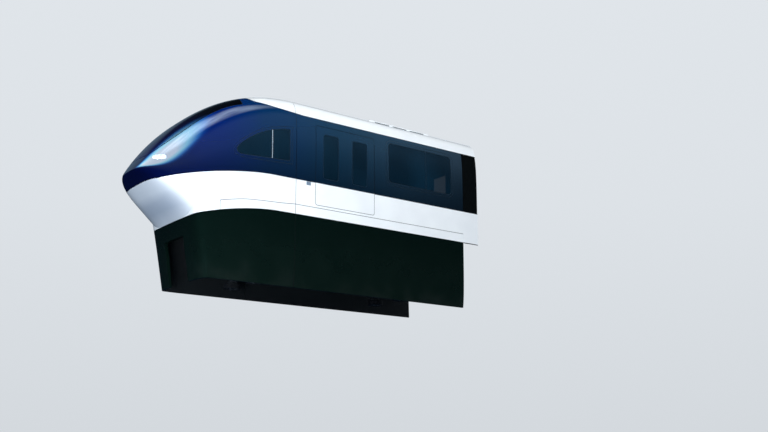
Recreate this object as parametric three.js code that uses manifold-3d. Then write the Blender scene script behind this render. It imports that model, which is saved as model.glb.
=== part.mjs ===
// End car of a small two-car monorail train that straddles a guide beam.
// Millimetres, +Z up. The nose points to -X and the gangway to the next car is at +X.
// The origin is on the centre line, at the running surface of the beam, 0.1 m ahead of the middle
// between the bogie pivots.
import * as THREE from 'three';
import { mergeVertices } from 'three/addons/utils/BufferGeometryUtils.js';
import Module from 'manifold-3d';

const wasm = await Module();
wasm.setup();

// Driving sizes of the car body
const BODY_WIDTH = 2500;
const FLOOR_Z = 1150;
const GANGWAY_X = 4500;
const BODY_END_X = 3960;
const CAB_JOINT_X = -1400;
const NOSE_TIP_X = -5130;
const NOSE_TIP_Z = FLOOR_Z + 370;
const ROOF_Z = FLOOR_Z + 2680;
const WIDEST_Z = FLOOR_Z - 200;
const SKIRT_BOTTOM_Z = -950;
const VIRTUAL_KEEL_Z = -1750;
const WALL = 70;
const GAP = 0.4;
const HALF_GAP = GAP / 2;
const FAR = 9000;

// Heights of the side's coloured panels
const SILL_Z = FLOOR_Z - 310;
const BELT_Z = FLOOR_Z + 560;
const CANTRAIL_Z = FLOOR_Z + 2230;

// Door between the bogies: one wide leaf with two panes
const DOOR_FRONT_X = -838;
const DOOR_REAR_X = 948;
const DOOR_TOP_Z = FLOOR_Z + 2050;
const DOOR_CORNER = 60;
const DOOR_PANES = [
  { name: 'front', x0: -615, x1: -160 },
  { name: 'rear', x0: 262, x1: 717 },
];
const DOOR_PANE_BOTTOM_Z = FLOOR_Z + 700;
const DOOR_PANE_TOP_Z = FLOOR_Z + 1850;

// Saloon window behind the doors
const WINDOW_FRONT_X = 1410;
const WINDOW_REAR_X = 3545;
const WINDOW_BOTTOM_Z = FLOOR_Z + 960;
const WINDOW_TOP_Z = FLOOR_Z + 2040;
const WINDOW_CORNER = 110;
const GLASS_THICKNESS = 24;

// Guide beam that the bogies straddle, and the room left for it
const BEAM_WIDTH = 700;
const BEAM_SLOT_HALF = 500;
const BEAM_SLOT_TOP_Z = 90;

// Running gear
const BOGIE_X = { front: -2100, rear: 2300 };
const LOAD_RADIUS = 430;
const LOAD_TYRE_WIDTH = 250;
const LOAD_TYRE_Y = 165;
const RIM_RADIUS = 250;
const AXLE_RADIUS = 55;
const AXLE_HALF_LENGTH = 560;
const GUIDE_RADIUS = 200;
const GUIDE_WIDTH = 140;
const GUIDE_WHEEL_Y = BEAM_WIDTH / 2 + GUIDE_RADIUS;
const GUIDE_WHEEL_X = 800;
const GUIDE_WHEEL_Z = -230;
const STABILISER_Z = -760;
const SPINDLE_RADIUS = 35;
const RUNNING_CLEARANCE = 0.8;
const ROUND_SEGMENTS = 24;
const SMALL_SEGMENTS = 20;
const POLE_SEGMENTS = 10;
const CORNER_SEGMENTS = 3;
const PIVOT_Z = 945;

const SIDES = [
  { name: 'left', sign: -1 },
  { name: 'right', sign: 1 },
];

// Paint, glass, rubber and steel of the car
const FINISH = {
  white: { color: 0xf2f4f5, roughness: 0.25, metalness: 0.0 },
  band: { color: 0x10202f, roughness: 0.08, metalness: 0.2 },
  glass: { color: 0x0b1a2c, roughness: 0.05, metalness: 0.1 },
  skirt: { color: 0x10161a, roughness: 0.3, metalness: 0.0 },
  black: { color: 0x0b0b0c, roughness: 0.8, metalness: 0.0 },
  steel: { color: 0x4a4e52, roughness: 0.55, metalness: 0.6 },
  rubber: { color: 0x171717, roughness: 0.9, metalness: 0.0 },
  lining: { color: 0xb9bcc0, roughness: 0.6, metalness: 0.0 },
  cloth: { color: 0x27496d, roughness: 0.9, metalness: 0.0 },
  lamp: { color: 0xe8f4ff, roughness: 0.1, metalness: 0.0 },
};

const car = new THREE.Group();

// Booleans

function solid(geometry) {
  const bare = geometry.clone();
  bare.deleteAttribute('normal');
  bare.deleteAttribute('uv');
  const merged = mergeVertices(bare, 1e-4);
  const mesh = new wasm.Mesh({
    numProp: 3,
    vertProperties: new Float32Array(merged.attributes.position.array),
    triVerts: new Uint32Array(merged.index.array),
  });
  return new wasm.Manifold(mesh);
}

function addNode(name, body, finish) {
  const mesh = body.getMesh();
  const geometry = new THREE.BufferGeometry();
  geometry.setAttribute('position', new THREE.BufferAttribute(new Float32Array(mesh.vertProperties), 3));
  geometry.setIndex(new THREE.BufferAttribute(new Uint32Array(mesh.triVerts), 1));
  geometry.computeVertexNormals();
  const node = new THREE.Mesh(geometry, new THREE.MeshStandardMaterial(FINISH[finish]));
  node.name = name;
  car.add(node);
}

function join(parts) {
  return parts.reduce((whole, part) => whole.add(part));
}

// Plain solids

function block(x0, x1, y0, y1, z0, z1) {
  const geometry = new THREE.BoxGeometry(x1 - x0, y1 - y0, z1 - z0);
  geometry.translate((x0 + x1) / 2, (y0 + y1) / 2, (z0 + z1) / 2);
  return solid(geometry);
}

// A block on one side of the centre line: y runs outwards from the centre
function sideBlock(sign, x0, x1, yIn, yOut, z0, z1) {
  const ys = [sign * yIn, sign * yOut].sort((a, b) => a - b);
  return block(x0, x1, ys[0], ys[1], z0, z1);
}

function uprightCylinder(x, y, z0, z1, radius, segments = SMALL_SEGMENTS) {
  const geometry = new THREE.CylinderGeometry(radius, radius, z1 - z0, segments);
  geometry.rotateX(Math.PI / 2);
  geometry.translate(x, y, (z0 + z1) / 2);
  return solid(geometry);
}

function crossCylinder(x, z, y0, y1, radius) {
  const geometry = new THREE.CylinderGeometry(radius, radius, y1 - y0, ROUND_SEGMENTS);
  geometry.translate(x, (y0 + y1) / 2, z);
  return solid(geometry);
}

// A side-view outline (x, z) drawn out across the car from y0 to y1
function sidePrism(shape, y0 = -FAR, y1 = FAR) {
  const settings = { depth: y1 - y0, bevelEnabled: false, curveSegments: CORNER_SEGMENTS };
  const geometry = new THREE.ExtrudeGeometry(shape, settings);
  geometry.rotateX(Math.PI / 2);
  geometry.translate(0, y1, 0);
  return solid(geometry);
}

function outline(points) {
  return new THREE.Shape(points.map(([x, z]) => new THREE.Vector2(x, z)));
}

function roundedOutline(x0, x1, z0, z1, r) {
  const shape = new THREE.Shape();
  shape.moveTo(x0 + r, z0);
  shape.lineTo(x1 - r, z0);
  shape.absarc(x1 - r, z0 + r, r, -Math.PI / 2, 0, false);
  shape.absarc(x1 - r, z1 - r, r, 0, Math.PI / 2, false);
  shape.absarc(x0 + r, z1 - r, r, Math.PI / 2, Math.PI, false);
  shape.absarc(x0 + r, z0 + r, r, Math.PI, 1.5 * Math.PI, false);
  return shape;
}

// The body's form: a superellipse at each station, squarer along the saloon and rounder at the tip

const PLAN = { rise: 6.0, round: 2.59 };
const CREST = { rise: 2.3, round: 1.14 };
const CHIN = { rise: 1.2, round: 1.23 };
const UPPER_POWER = { joint: 6.96, tip: 1.94 };
const LOWER_POWER = { joint: 5.0, tip: 6.0 };
const APRON = { top: 0.7, foot: 0.6 };
const TIP_INSET = 1.8;
const QUADRANT_STEPS = 10;
const STRAIGHT_MARGIN = 150;
// Stations along the nose, as shares of its length from the cab joint to the tip
const NOSE_STATIONS = [
  0.12, 0.24, 0.34, 0.43, 0.52, APRON.foot, APRON.top, 0.77, 0.83, 0.88, 0.92, 0.95, 0.973, 0.99];

function fade(t, curve) {
  return (1 - t ** curve.rise) ** (1 / curve.round);
}

// Height of the underside: chin at the tip, then a steep apron down to the level of the keel
function underside(t, keel) {
  const chinTopShare = fade(APRON.top, CHIN);
  const apronTopZ = NOSE_TIP_Z - (NOSE_TIP_Z - (FLOOR_Z - 2100)) * chinTopShare;
  if (t >= APRON.top) {
    return NOSE_TIP_Z - (NOSE_TIP_Z - (FLOOR_Z - 2100)) * fade(t, CHIN);
  }
  const drop = Math.min(1, (APRON.top - t) / (APRON.top - APRON.foot));
  return apronTopZ + (keel - apronTopZ) * drop;
}

function section(t, inset) {
  const half = (BODY_WIDTH / 2 - inset) * fade(t, PLAN);
  const top = NOSE_TIP_Z + (ROOF_Z - inset - NOSE_TIP_Z) * fade(t, CREST);
  const openKeel = inset > 0 ? VIRTUAL_KEEL_Z - 300 : VIRTUAL_KEEL_Z;
  const closed = t >= APRON.top ? inset : 0;
  const bottom = Math.min(underside(t, openKeel) + closed, NOSE_TIP_Z);
  const middle = WIDEST_Z + (NOSE_TIP_Z - WIDEST_Z) * t * t;
  const upper = UPPER_POWER.joint + (UPPER_POWER.tip - UPPER_POWER.joint) * t;
  const lower = LOWER_POWER.joint + (LOWER_POWER.tip - LOWER_POWER.joint) * t;
  const ring = [];
  const steps = 4 * QUADRANT_STEPS;
  for (let i = 0; i < steps; i += 1) {
    const angle = (2 * Math.PI * i) / steps;
    const c = Math.cos(angle);
    const s = Math.sin(angle);
    const power = 2 / (s >= 0 ? upper : lower);
    const reach = s >= 0 ? top - middle : middle - bottom;
    const y = half * Math.sign(c) * Math.abs(c) ** power;
    const z = middle + reach * Math.sign(s) * Math.abs(s) ** power;
    ring.push([y, z]);
  }
  return ring;
}

function bodyForm(inset, endX) {
  const tipX = NOSE_TIP_X + inset * TIP_INSET;
  const noseLength = CAB_JOINT_X - tipX;
  const stations = [{ x: endX, t: 0 }, { x: CAB_JOINT_X + STRAIGHT_MARGIN, t: 0 }];
  for (const t of NOSE_STATIONS) {
    stations.push({ x: CAB_JOINT_X - t * noseLength, t });
  }
  const positions = [];
  for (const { x, t } of stations) {
    for (const [y, z] of section(t, inset)) {
      positions.push(x, y, z);
    }
  }
  const count = 4 * QUADRANT_STEPS;
  const index = [];
  for (let s = 0; s < stations.length - 1; s += 1) {
    for (let i = 0; i < count; i += 1) {
      const a = s * count + i;
      const b = s * count + ((i + 1) % count);
      index.push(a, a + count, b, b, a + count, b + count);
    }
  }
  const rearCentre = positions.length / 3;
  positions.push(endX, 0, WIDEST_Z);
  const tip = rearCentre + 1;
  positions.push(tipX, 0, NOSE_TIP_Z);
  const last = (stations.length - 1) * count;
  for (let i = 0; i < count; i += 1) {
    const next = (i + 1) % count;
    index.push(rearCentre, i, next);
    index.push(tip, last + next, last + i);
  }
  const geometry = new THREE.BufferGeometry();
  geometry.setAttribute('position', new THREE.Float32BufferAttribute(positions, 3));
  geometry.setIndex(index);
  return solid(geometry);
}

const belowSkirt = block(-FAR, FAR, -FAR, FAR, -FAR, SKIRT_BOTTOM_Z);
const outerForm = bodyForm(0, GANGWAY_X).subtract(belowSkirt);
const innerForm = bodyForm(WALL, GANGWAY_X + 100);
const roomForm = bodyForm(WALL + GAP, GANGWAY_X + 100);
const shell = outerForm.subtract(innerForm);

// Lines that divide the skin, seen from the side; the offset opens the gap between two panels

const BAND_FALL = { startX: -2100, rate: 0.102, power: 1.56 };
const BAND_FRONT = { x: -4770, z: FLOOR_Z + 95 };
const SKIRT_FALL = { startX: -1900, rate: 0.099, power: 1.74 };
const FALL_STEPS = 7;

// A line that runs level and then falls towards the nose, from rear to front
function fallingLine(z, fall, frontX, offset) {
  const points = [[FAR, z + offset], [fall.startX, z + offset]];
  for (let i = 1; i <= FALL_STEPS; i += 1) {
    const x = fall.startX + ((frontX - fall.startX) * i) / FALL_STEPS;
    const metres = (fall.startX - x) / 1000;
    points.push([x, z - 1000 * fall.rate * metres ** fall.power + offset]);
  }
  return points;
}

function bandLine(offset) {
  return [...fallingLine(BELT_Z, BAND_FALL, BAND_FRONT.x, offset), [-FAR, BAND_FRONT.z + offset]];
}

const APRON_TOP_X = CAB_JOINT_X - APRON.top * (CAB_JOINT_X - NOSE_TIP_X);

function skirtLine(offset) {
  return [...fallingLine(SILL_Z, SKIRT_FALL, APRON_TOP_X, offset), [-FAR, 300 + offset]];
}

// The roof's lower edge climbs a little along the cab and then sweeps up over the top
function roofLine(offset) {
  return [
    [FAR, CANTRAIL_Z + offset],
    [-1200, CANTRAIL_Z + offset],
    [-1820, FLOOR_Z + 2280 + offset],
    [-2240, FLOOR_Z + 2330 + offset],
    [-2540 + offset, FLOOR_Z + 2385 + offset],
    [-2720 + offset, ROOF_Z + 200],
    [-2720 + offset, FAR],
  ];
}

function above(line) {
  const front = line[line.length - 1];
  return sidePrism(outline([...line, [front[0], FAR], [FAR, FAR]]));
}

function below(line) {
  const front = line[line.length - 1];
  return sidePrism(outline([...line, [front[0], -FAR], [FAR, -FAR]]));
}

// Everything ahead of, or behind, an upright joint
function ahead(x) {
  return block(-FAR, x - HALF_GAP, -FAR, FAR, -FAR, FAR);
}

function behind(x) {
  return block(x + HALF_GAP, FAR, -FAR, FAR, -FAR, FAR);
}

function halfSpace(sign) {
  return sideBlock(sign, -FAR, FAR, 0, FAR, -FAR, FAR);
}

// Windscreen, seen from above: its side edge keeps a nearly constant share of the body's half width
const SCREEN_EDGE = [
  { x: -2800, share: 0.84 },
  { x: -3100, share: 0.815 },
  { x: -3500, share: 0.8 },
  { x: -3900, share: 0.8 },
  { x: -4250, share: 0.8 },
  { x: -4500, share: 0.785 },
  { x: -4690, share: 0.755 },
  { x: -4820, share: 0.72 },
  { x: -4895, share: 0.655 },
  { x: -4925, share: 0.5 },
];

function halfWidth(x) {
  return (BODY_WIDTH / 2) * fade((CAB_JOINT_X - x) / (CAB_JOINT_X - NOSE_TIP_X), PLAN);
}

function screenPrism(grow) {
  const rearX = SCREEN_EDGE[0].x;
  const frontX = SCREEN_EDGE[SCREEN_EDGE.length - 1].x;
  const stretch = 1 + (2 * grow) / (rearX - frontX);
  const middleX = (rearX + frontX) / 2;
  const edge = SCREEN_EDGE.map(({ x, share }) => [middleX + (x - middleX) * stretch, share * halfWidth(x) + grow]);
  const mirrored = edge.map(([x, y]) => [x, -y]).reverse();
  const shape = outline([...edge, ...mirrored]);
  const geometry = new THREE.ExtrudeGeometry(shape, { depth: FAR, bevelEnabled: false });
  geometry.translate(0, 0, NOSE_TIP_Z);
  return solid(geometry);
}

// Cab side window: a lens with a rounded nose, upright at its rear
function cabWindowOutline(grow) {
  const rear = -1580 + grow;
  const front = -3020 - grow;
  const shape = new THREE.Shape();
  shape.moveTo(rear, FLOOR_Z + 980 - grow);
  shape.lineTo(rear, FLOOR_Z + 1780 + grow);
  shape.quadraticCurveTo(-2300, FLOOR_Z + 1700 + grow, -2840, FLOOR_Z + 1240 + grow);
  shape.quadraticCurveTo(front, FLOOR_Z + 1080, front, FLOOR_Z + 1010);
  shape.quadraticCurveTo(front, FLOOR_Z + 900 - grow, -2800, FLOOR_Z + 915 - grow);
  shape.lineTo(rear, FLOOR_Z + 980 - grow);
  return shape;
}

// Headlamp at each lower corner of the windscreen
const LAMP = { rearX: -4640, frontX: -4870, bottomZ: FLOOR_Z + 520, topZ: FLOOR_Z + 640, inY: 380, corner: 50 };

function lampForm(sign, grow) {
  const shape = roundedOutline(
    LAMP.frontX - grow, LAMP.rearX + grow, LAMP.bottomZ - grow, LAMP.topZ + grow, LAMP.corner);
  const ys = [sign * (LAMP.inY - grow), sign * FAR].sort((a, b) => a - b);
  return sidePrism(shape, ys[0], ys[1]);
}

function doorOutline(shrink) {
  return roundedOutline(
    DOOR_FRONT_X + shrink, DOOR_REAR_X - shrink, FLOOR_Z + shrink, DOOR_TOP_Z - shrink, DOOR_CORNER);
}

function paneOutline(pane, shrink) {
  return roundedOutline(
    pane.x0 + shrink, pane.x1 - shrink, DOOR_PANE_BOTTOM_Z + shrink, DOOR_PANE_TOP_Z - shrink, DOOR_CORNER);
}

// Sill panel under the saloon and hatch under the cab: the white strip above the skirt
const SEAM_Z = FLOOR_Z - 70;
const HATCH_FRONT_X = -3400;
const HATCH_TOP = [
  [CAB_JOINT_X + 100, SEAM_Z],
  [CAB_JOINT_X, SEAM_Z],
  [-1800, FLOOR_Z - 100],
  [-2300, FLOOR_Z - 125],
  [-2720, FLOOR_Z - 155],
  [-3030, FLOOR_Z - 205],
  [-3350, FLOOR_Z - 270],
  [HATCH_FRONT_X, FLOOR_Z - 290],
];

function hatchPrism(grow) {
  const top = HATCH_TOP.map(([x, z]) => [x, z + grow]);
  top[top.length - 1][0] -= grow;
  const frontX = HATCH_FRONT_X - grow;
  return sidePrism(outline([...top, [frontX, -FAR], [HATCH_TOP[0][0], -FAR]]));
}

// Groove round the roof at the joint between cab and saloon
const ROOF_JOINT = { width: 4, depth: 8 };
const windowHole = roundedOutline(
  WINDOW_FRONT_X, WINDOW_REAR_X, WINDOW_BOTTOM_Z, WINDOW_TOP_Z, WINDOW_CORNER);
const windowPane = roundedOutline(
  WINDOW_FRONT_X + GAP, WINDOW_REAR_X - GAP, WINDOW_BOTTOM_Z + GAP, WINDOW_TOP_Z - GAP, WINDOW_CORNER);

// Glass lies flush with the outside of the skin
const glassSkin = outerForm.subtract(bodyForm(GLASS_THICKNESS, GANGWAY_X + 100));

const aboveRoofLine = sidePrism(outline([...roofLine(HALF_GAP), [FAR, FAR]]));
const belowRoofLine = sidePrism(outline([...roofLine(-HALF_GAP), [-FAR, FAR], [-FAR, -FAR], [FAR, -FAR]]));
const aboveBand = above(bandLine(HALF_GAP));
const belowBand = below(bandLine(-HALF_GAP));
const aboveSkirt = above(skirtLine(HALF_GAP));
const belowSkirtLine = below(skirtLine(-HALF_GAP));

function buildNose() {
  const nose = shell.intersect(ahead(CAB_JOINT_X));
  const whitePart = nose.intersect(belowBand).intersect(aboveSkirt);
  addNode('nose_shell', whitePart.subtract(hatchPrism(GAP)), 'white');

  const canopy = nose.intersect(aboveBand).intersect(belowRoofLine)
    .subtract(screenPrism(0))
    .subtract(sidePrism(cabWindowOutline(0)))
    .subtract(lampForm(-1, 0))
    .subtract(lampForm(1, 0));
  addNode('nose_canopy', canopy, 'band');
  addNode('windscreen', glassSkin.intersect(screenPrism(-GAP)), 'glass');

  const beamSlot = block(-FAR, FAR, -BEAM_SLOT_HALF, BEAM_SLOT_HALF, -FAR, BEAM_SLOT_TOP_Z);
  addNode('nose_apron', nose.intersect(belowSkirtLine).subtract(beamSlot), 'skirt');

  for (const side of SIDES) {
    const half = halfSpace(side.sign);
    addNode(`cab_window_${side.name}`, glassSkin.intersect(sidePrism(cabWindowOutline(-GAP))).intersect(half), 'glass');
    addNode(`headlamp_${side.name}`, shell.intersect(lampForm(side.sign, -GAP)), 'lamp');
    addNode(`nose_hatch_${side.name}`, whitePart.intersect(hatchPrism(0)).intersect(half), 'white');
  }
}

function buildSides() {
  const saloon = shell.intersect(behind(CAB_JOINT_X));
  const whitePart = saloon.intersect(belowBand).intersect(aboveSkirt);
  const doorway = sidePrism(doorOutline(0));
  const sillStrip = block(CAB_JOINT_X - 100, BODY_END_X, -FAR, FAR, -FAR, SEAM_Z);
  const sillPart = whitePart.intersect(ahead(BODY_END_X)).intersect(block(-FAR, FAR, -FAR, FAR, -FAR, SEAM_Z - GAP));
  const lowerPart = whitePart.subtract(sillStrip).subtract(doorway);
  const bandPart = saloon.intersect(aboveBand).intersect(belowRoofLine).intersect(ahead(BODY_END_X))
    .subtract(doorway).subtract(sidePrism(windowHole));
  const skirtPart = saloon.intersect(belowSkirtLine).intersect(ahead(BODY_END_X));
  let doorPart = shell.intersect(sidePrism(doorOutline(GAP)));
  for (const pane of DOOR_PANES) {
    doorPart = doorPart.subtract(sidePrism(paneOutline(pane, 0)));
  }
  for (const side of SIDES) {
    const half = halfSpace(side.sign);
    addNode(`lower_panel_${side.name}`, lowerPart.intersect(half), 'white');
    addNode(`sill_panel_${side.name}`, sillPart.intersect(half), 'white');
    addNode(`window_band_${side.name}`, bandPart.intersect(half), 'band');
    addNode(`skirt_${side.name}`, skirtPart.intersect(half), 'skirt');
    addNode(`saloon_window_${side.name}`, glassSkin.intersect(sidePrism(windowPane)).intersect(half), 'glass');
    addNode(`door_leaf_${side.name}`, doorPart.intersect(half), 'band');
    for (const pane of DOOR_PANES) {
      const glass = glassSkin.intersect(sidePrism(paneOutline(pane, GAP))).intersect(half);
      addNode(`door_glass_${pane.name}_${side.name}`, glass, 'glass');
    }
  }
}

function buildRoof() {
  const half = ROOF_JOINT.width / 2;
  const ring = block(CAB_JOINT_X - half, CAB_JOINT_X + half, -FAR, FAR, 0, FAR)
    .subtract(bodyForm(ROOF_JOINT.depth, GANGWAY_X));
  addNode('roof', shell.intersect(aboveRoofLine).subtract(ring), 'white');
}

// Floor, underframe and the frame at the gangway end

const FLOOR_THICKNESS = 60;
const UNDERFRAME_TOP_Z = FLOOR_Z - FLOOR_THICKNESS - GAP;
const UNDERFRAME_BOTTOM_Z = PIVOT_Z + 0.3;
const SILL_BEAM = { inY: 900, outY: 1060 };
const UNDERFRAME_FRONT_X = -3700;
const CROSS_BEAMS_X = [-3620, -1000, 0, 1000, 3800];
const CROSS_BEAM_HALF = 80;
const BOLSTER_HALF = 260;
const PIN_RADIUS = 50;
const PIN_LENGTH = 50;
const PASSAGE = { half: 620, topZ: FLOOR_Z + 2000 };
const END_WALL_THICKNESS = 80;

function buildFloor() {
  const floorBox = block(-4300, BODY_END_X - END_WALL_THICKNESS - GAP, -FAR, FAR, FLOOR_Z - FLOOR_THICKNESS, FLOOR_Z);
  addNode('floor', roomForm.intersect(floorBox), 'lining');

  const parts = SIDES.map((side) => sideBlock(
    side.sign, UNDERFRAME_FRONT_X, BODY_END_X - GAP, SILL_BEAM.inY, SILL_BEAM.outY,
    UNDERFRAME_BOTTOM_Z, UNDERFRAME_TOP_Z));
  for (const x of CROSS_BEAMS_X) {
    parts.push(block(x - CROSS_BEAM_HALF, x + CROSS_BEAM_HALF, -SILL_BEAM.outY, SILL_BEAM.outY,
      UNDERFRAME_BOTTOM_Z, UNDERFRAME_TOP_Z));
  }
  for (const x of Object.values(BOGIE_X)) {
    parts.push(block(x - BOLSTER_HALF, x + BOLSTER_HALF, -SILL_BEAM.outY, SILL_BEAM.outY,
      UNDERFRAME_BOTTOM_Z, UNDERFRAME_TOP_Z));
    parts.push(uprightCylinder(x, 0, UNDERFRAME_BOTTOM_Z - PIN_LENGTH, UNDERFRAME_BOTTOM_Z + 5, PIN_RADIUS));
  }
  addNode('underframe', join(parts), 'steel');
}

function buildGangway() {
  const passage = block(0, FAR, -PASSAGE.half, PASSAGE.half, FLOOR_Z, PASSAGE.topZ);
  const wallBox = block(BODY_END_X - END_WALL_THICKNESS, BODY_END_X - GAP, -FAR, FAR, FLOOR_Z - FLOOR_THICKNESS, FAR);
  addNode('end_wall', roomForm.intersect(wallBox).subtract(passage), 'lining');

  const hood = block(BODY_END_X + GAP, GANGWAY_X, -FAR, FAR, UNDERFRAME_TOP_Z - 60, FAR);
  const bandHood = block(BODY_END_X + GAP, GANGWAY_X, -FAR, FAR, BELT_Z + GAP, CANTRAIL_Z - GAP);
  const flush = bodyForm(18, GANGWAY_X + 100).intersect(bandHood);
  const bellows = roomForm.intersect(hood).add(flush).subtract(passage);
  addNode('gangway_bellows', bellows, 'black');

  // Drawbar: a bracket below the end sill, a bar and a round coupling flange
  const drawbar = join([
    block(3700, 3860, -160, 160, 640, UNDERFRAME_BOTTOM_Z - GAP),
    block(3800, 4440, -60, 60, 690, 810),
    block(4400, GANGWAY_X, -130, 130, 620, 880),
  ]);
  addNode('drawbar', drawbar, 'steel');
}

// Interior that shows through the glass

const RAIL = { half: 20, bottomZ: FLOOR_Z + 2000 };
const POLES_X = [-600, 1250, 3000];
const POLE_RADIUS = 19;

function buildInterior() {
  const partitionBox = block(CAB_JOINT_X + 20, CAB_JOINT_X + 60, -FAR, FAR, FLOOR_Z + GAP, FAR);
  const doorHole = block(-FAR, FAR, -350, 350, FLOOR_Z, FLOOR_Z + 1900);
  addNode('cab_partition', roomForm.intersect(partitionBox).subtract(doorHole), 'lining');

  const console = outline([
    [-3260, FLOOR_Z + GAP], [-3260, FLOOR_Z + 620], [-3180, FLOOR_Z + 760], [-3400, FLOOR_Z + 860],
    [-3900, FLOOR_Z + 620], [-3900, FLOOR_Z + GAP],
  ]);
  addNode('drivers_console', sidePrism(console, -700, 700), 'skirt');

  const seat = join([
    uprightCylinder(-2600, 0, FLOOR_Z + GAP, FLOOR_Z + 30, 190),
    uprightCylinder(-2600, 0, FLOOR_Z + 20, FLOOR_Z + 400, 50),
    block(-2860, -2380, -240, 240, FLOOR_Z + 390, FLOOR_Z + 500),
    sidePrism(outline([
      [-2480, FLOOR_Z + 450], [-2360, FLOOR_Z + 450], [-2260, FLOOR_Z + 1180], [-2350, FLOOR_Z + 1200],
    ]), -220, 220),
  ]);
  addNode('drivers_seat', seat, 'cloth');

  for (const side of SIDES) {
    const bench = [
      sideBlock(side.sign, 1500, 3780, 700, 1140, FLOOR_Z + 380, FLOOR_Z + 450),
      sideBlock(side.sign, 1500, 3780, 1080, 1140, FLOOR_Z + 440, FLOOR_Z + 900),
      sideBlock(side.sign, 1560, 3720, 860, 1100, FLOOR_Z + GAP, FLOOR_Z + 390),
    ];
    addNode(`bench_seat_${side.name}`, join(bench).intersect(roomForm), 'cloth');
  }

  const rails = [block(-1100, 3700, -RAIL.half, RAIL.half, RAIL.bottomZ, RAIL.bottomZ + 2 * RAIL.half)];
  for (const x of POLES_X) {
    rails.push(uprightCylinder(x, 0, FLOOR_Z + GAP, ROOF_Z - WALL - 0.8, POLE_RADIUS, POLE_SEGMENTS));
  }
  addNode('grab_rails', join(rails), 'steel');
}

// Roof unit of the air conditioning, on the flat of the roof
function buildRoofUnit() {
  const unit = sidePrism(outline([
    [1100, ROOF_Z - 25], [1250, ROOF_Z + 130], [3250, ROOF_Z + 130], [3400, ROOF_Z - 25],
  ]), -620, 620);
  addNode('roof_unit', unit.subtract(bodyForm(-GAP, GANGWAY_X)), 'white');
}

// Bogies

function wheelRing(profile, segments) {
  const points = profile.map(([r, h]) => new THREE.Vector2(r, h));
  points.push(points[0].clone());
  return new THREE.LatheGeometry(points, segments);
}

function guideWheel(x, y, z) {
  const bore = SPINDLE_RADIUS + RUNNING_CLEARANCE;
  const half = GUIDE_WIDTH / 2;
  const geometry = wheelRing([
    [bore, -half], [GUIDE_RADIUS - 20, -half], [GUIDE_RADIUS, -half + 20],
    [GUIDE_RADIUS, half - 20], [GUIDE_RADIUS - 20, half], [bore, half],
  ], SMALL_SEGMENTS);
  geometry.rotateX(Math.PI / 2);
  geometry.translate(x, y, z);
  return solid(geometry);
}

function loadTyre(x, y) {
  const half = LOAD_TYRE_WIDTH / 2;
  const geometry = wheelRing([
    [RIM_RADIUS + GAP, -half + 10], [LOAD_RADIUS - 45, -half], [LOAD_RADIUS, -half + 35],
    [LOAD_RADIUS, half - 35], [LOAD_RADIUS - 45, half], [RIM_RADIUS + GAP, half - 10],
  ], ROUND_SEGMENTS);
  geometry.translate(x, y, LOAD_RADIUS);
  return solid(geometry);
}

const FRAME_BEAM = { inY: 400, outY: 520, bottomZ: 340, topZ: 540, endX: 950 };
const ARCH_HALF = 130;
const ARCH_TOP_Z = 925;
const SPRING = { y: 680, radius: 165, seatZ: 520, topZ: PIVOT_Z - 6 };

function bogieFrame(x) {
  const parts = [];
  const beam = FRAME_BEAM;
  for (const side of SIDES) {
    parts.push(sideBlock(side.sign, x - beam.endX, x + beam.endX, beam.inY, beam.outY, beam.bottomZ, beam.topZ));
    parts.push(sideBlock(side.sign, x - ARCH_HALF, x + ARCH_HALF, beam.inY, beam.outY, beam.topZ - 20, ARCH_TOP_Z));
    parts.push(sideBlock(side.sign, x - 180, x + 180, beam.outY - 20, SPRING.y + 160, SPRING.seatZ - 60, SPRING.seatZ));
    parts.push(uprightCylinder(x, side.sign * SPRING.y, SPRING.seatZ - 10, SPRING.topZ, SPRING.radius));
    const y0 = GUIDE_WHEEL_Y - 70;
    const y1 = GUIDE_WHEEL_Y + 70;
    const legs = [
      { x: x - GUIDE_WHEEL_X, wheelZ: GUIDE_WHEEL_Z },
      { x: x + GUIDE_WHEEL_X, wheelZ: GUIDE_WHEEL_Z },
      { x, wheelZ: STABILISER_Z },
    ];
    for (const leg of legs) {
      const legBottom = leg.wheelZ + GUIDE_WIDTH / 2 + 15;
      parts.push(sideBlock(side.sign, leg.x - 80, leg.x + 80, y0, y1, legBottom, beam.topZ));
      parts.push(uprightCylinder(leg.x, side.sign * GUIDE_WHEEL_Y, leg.wheelZ - GUIDE_WIDTH / 2, legBottom + 10, SPINDLE_RADIUS));
    }
  }
  for (const end of [-1, 1]) {
    const outer = x + end * beam.endX;
    const inner = x + end * (beam.endX - 130);
    parts.push(block(Math.min(outer, inner), Math.max(outer, inner), -beam.outY, beam.outY, beam.bottomZ, beam.topZ));
  }
  parts.push(block(x - ARCH_HALF, x + ARCH_HALF, -beam.outY, beam.outY, ARCH_TOP_Z - 40, ARCH_TOP_Z));
  parts.push(uprightCylinder(x, 0, ARCH_TOP_Z - 10, PIVOT_Z, 200));
  return join(parts)
    .subtract(uprightCylinder(x, 0, 800, PIVOT_Z + 50, PIN_RADIUS + RUNNING_CLEARANCE))
    .subtract(crossCylinder(x, LOAD_RADIUS, -AXLE_HALF_LENGTH, AXLE_HALF_LENGTH, AXLE_RADIUS + RUNNING_CLEARANCE));
}

function loadAxle(x) {
  const half = LOAD_TYRE_WIDTH / 2 - 15;
  const parts = [crossCylinder(x, LOAD_RADIUS, -AXLE_HALF_LENGTH, AXLE_HALF_LENGTH, AXLE_RADIUS)];
  for (const side of SIDES) {
    const y = side.sign * LOAD_TYRE_Y;
    parts.push(crossCylinder(x, LOAD_RADIUS, y - half, y + half, RIM_RADIUS));
  }
  return join(parts);
}

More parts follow.
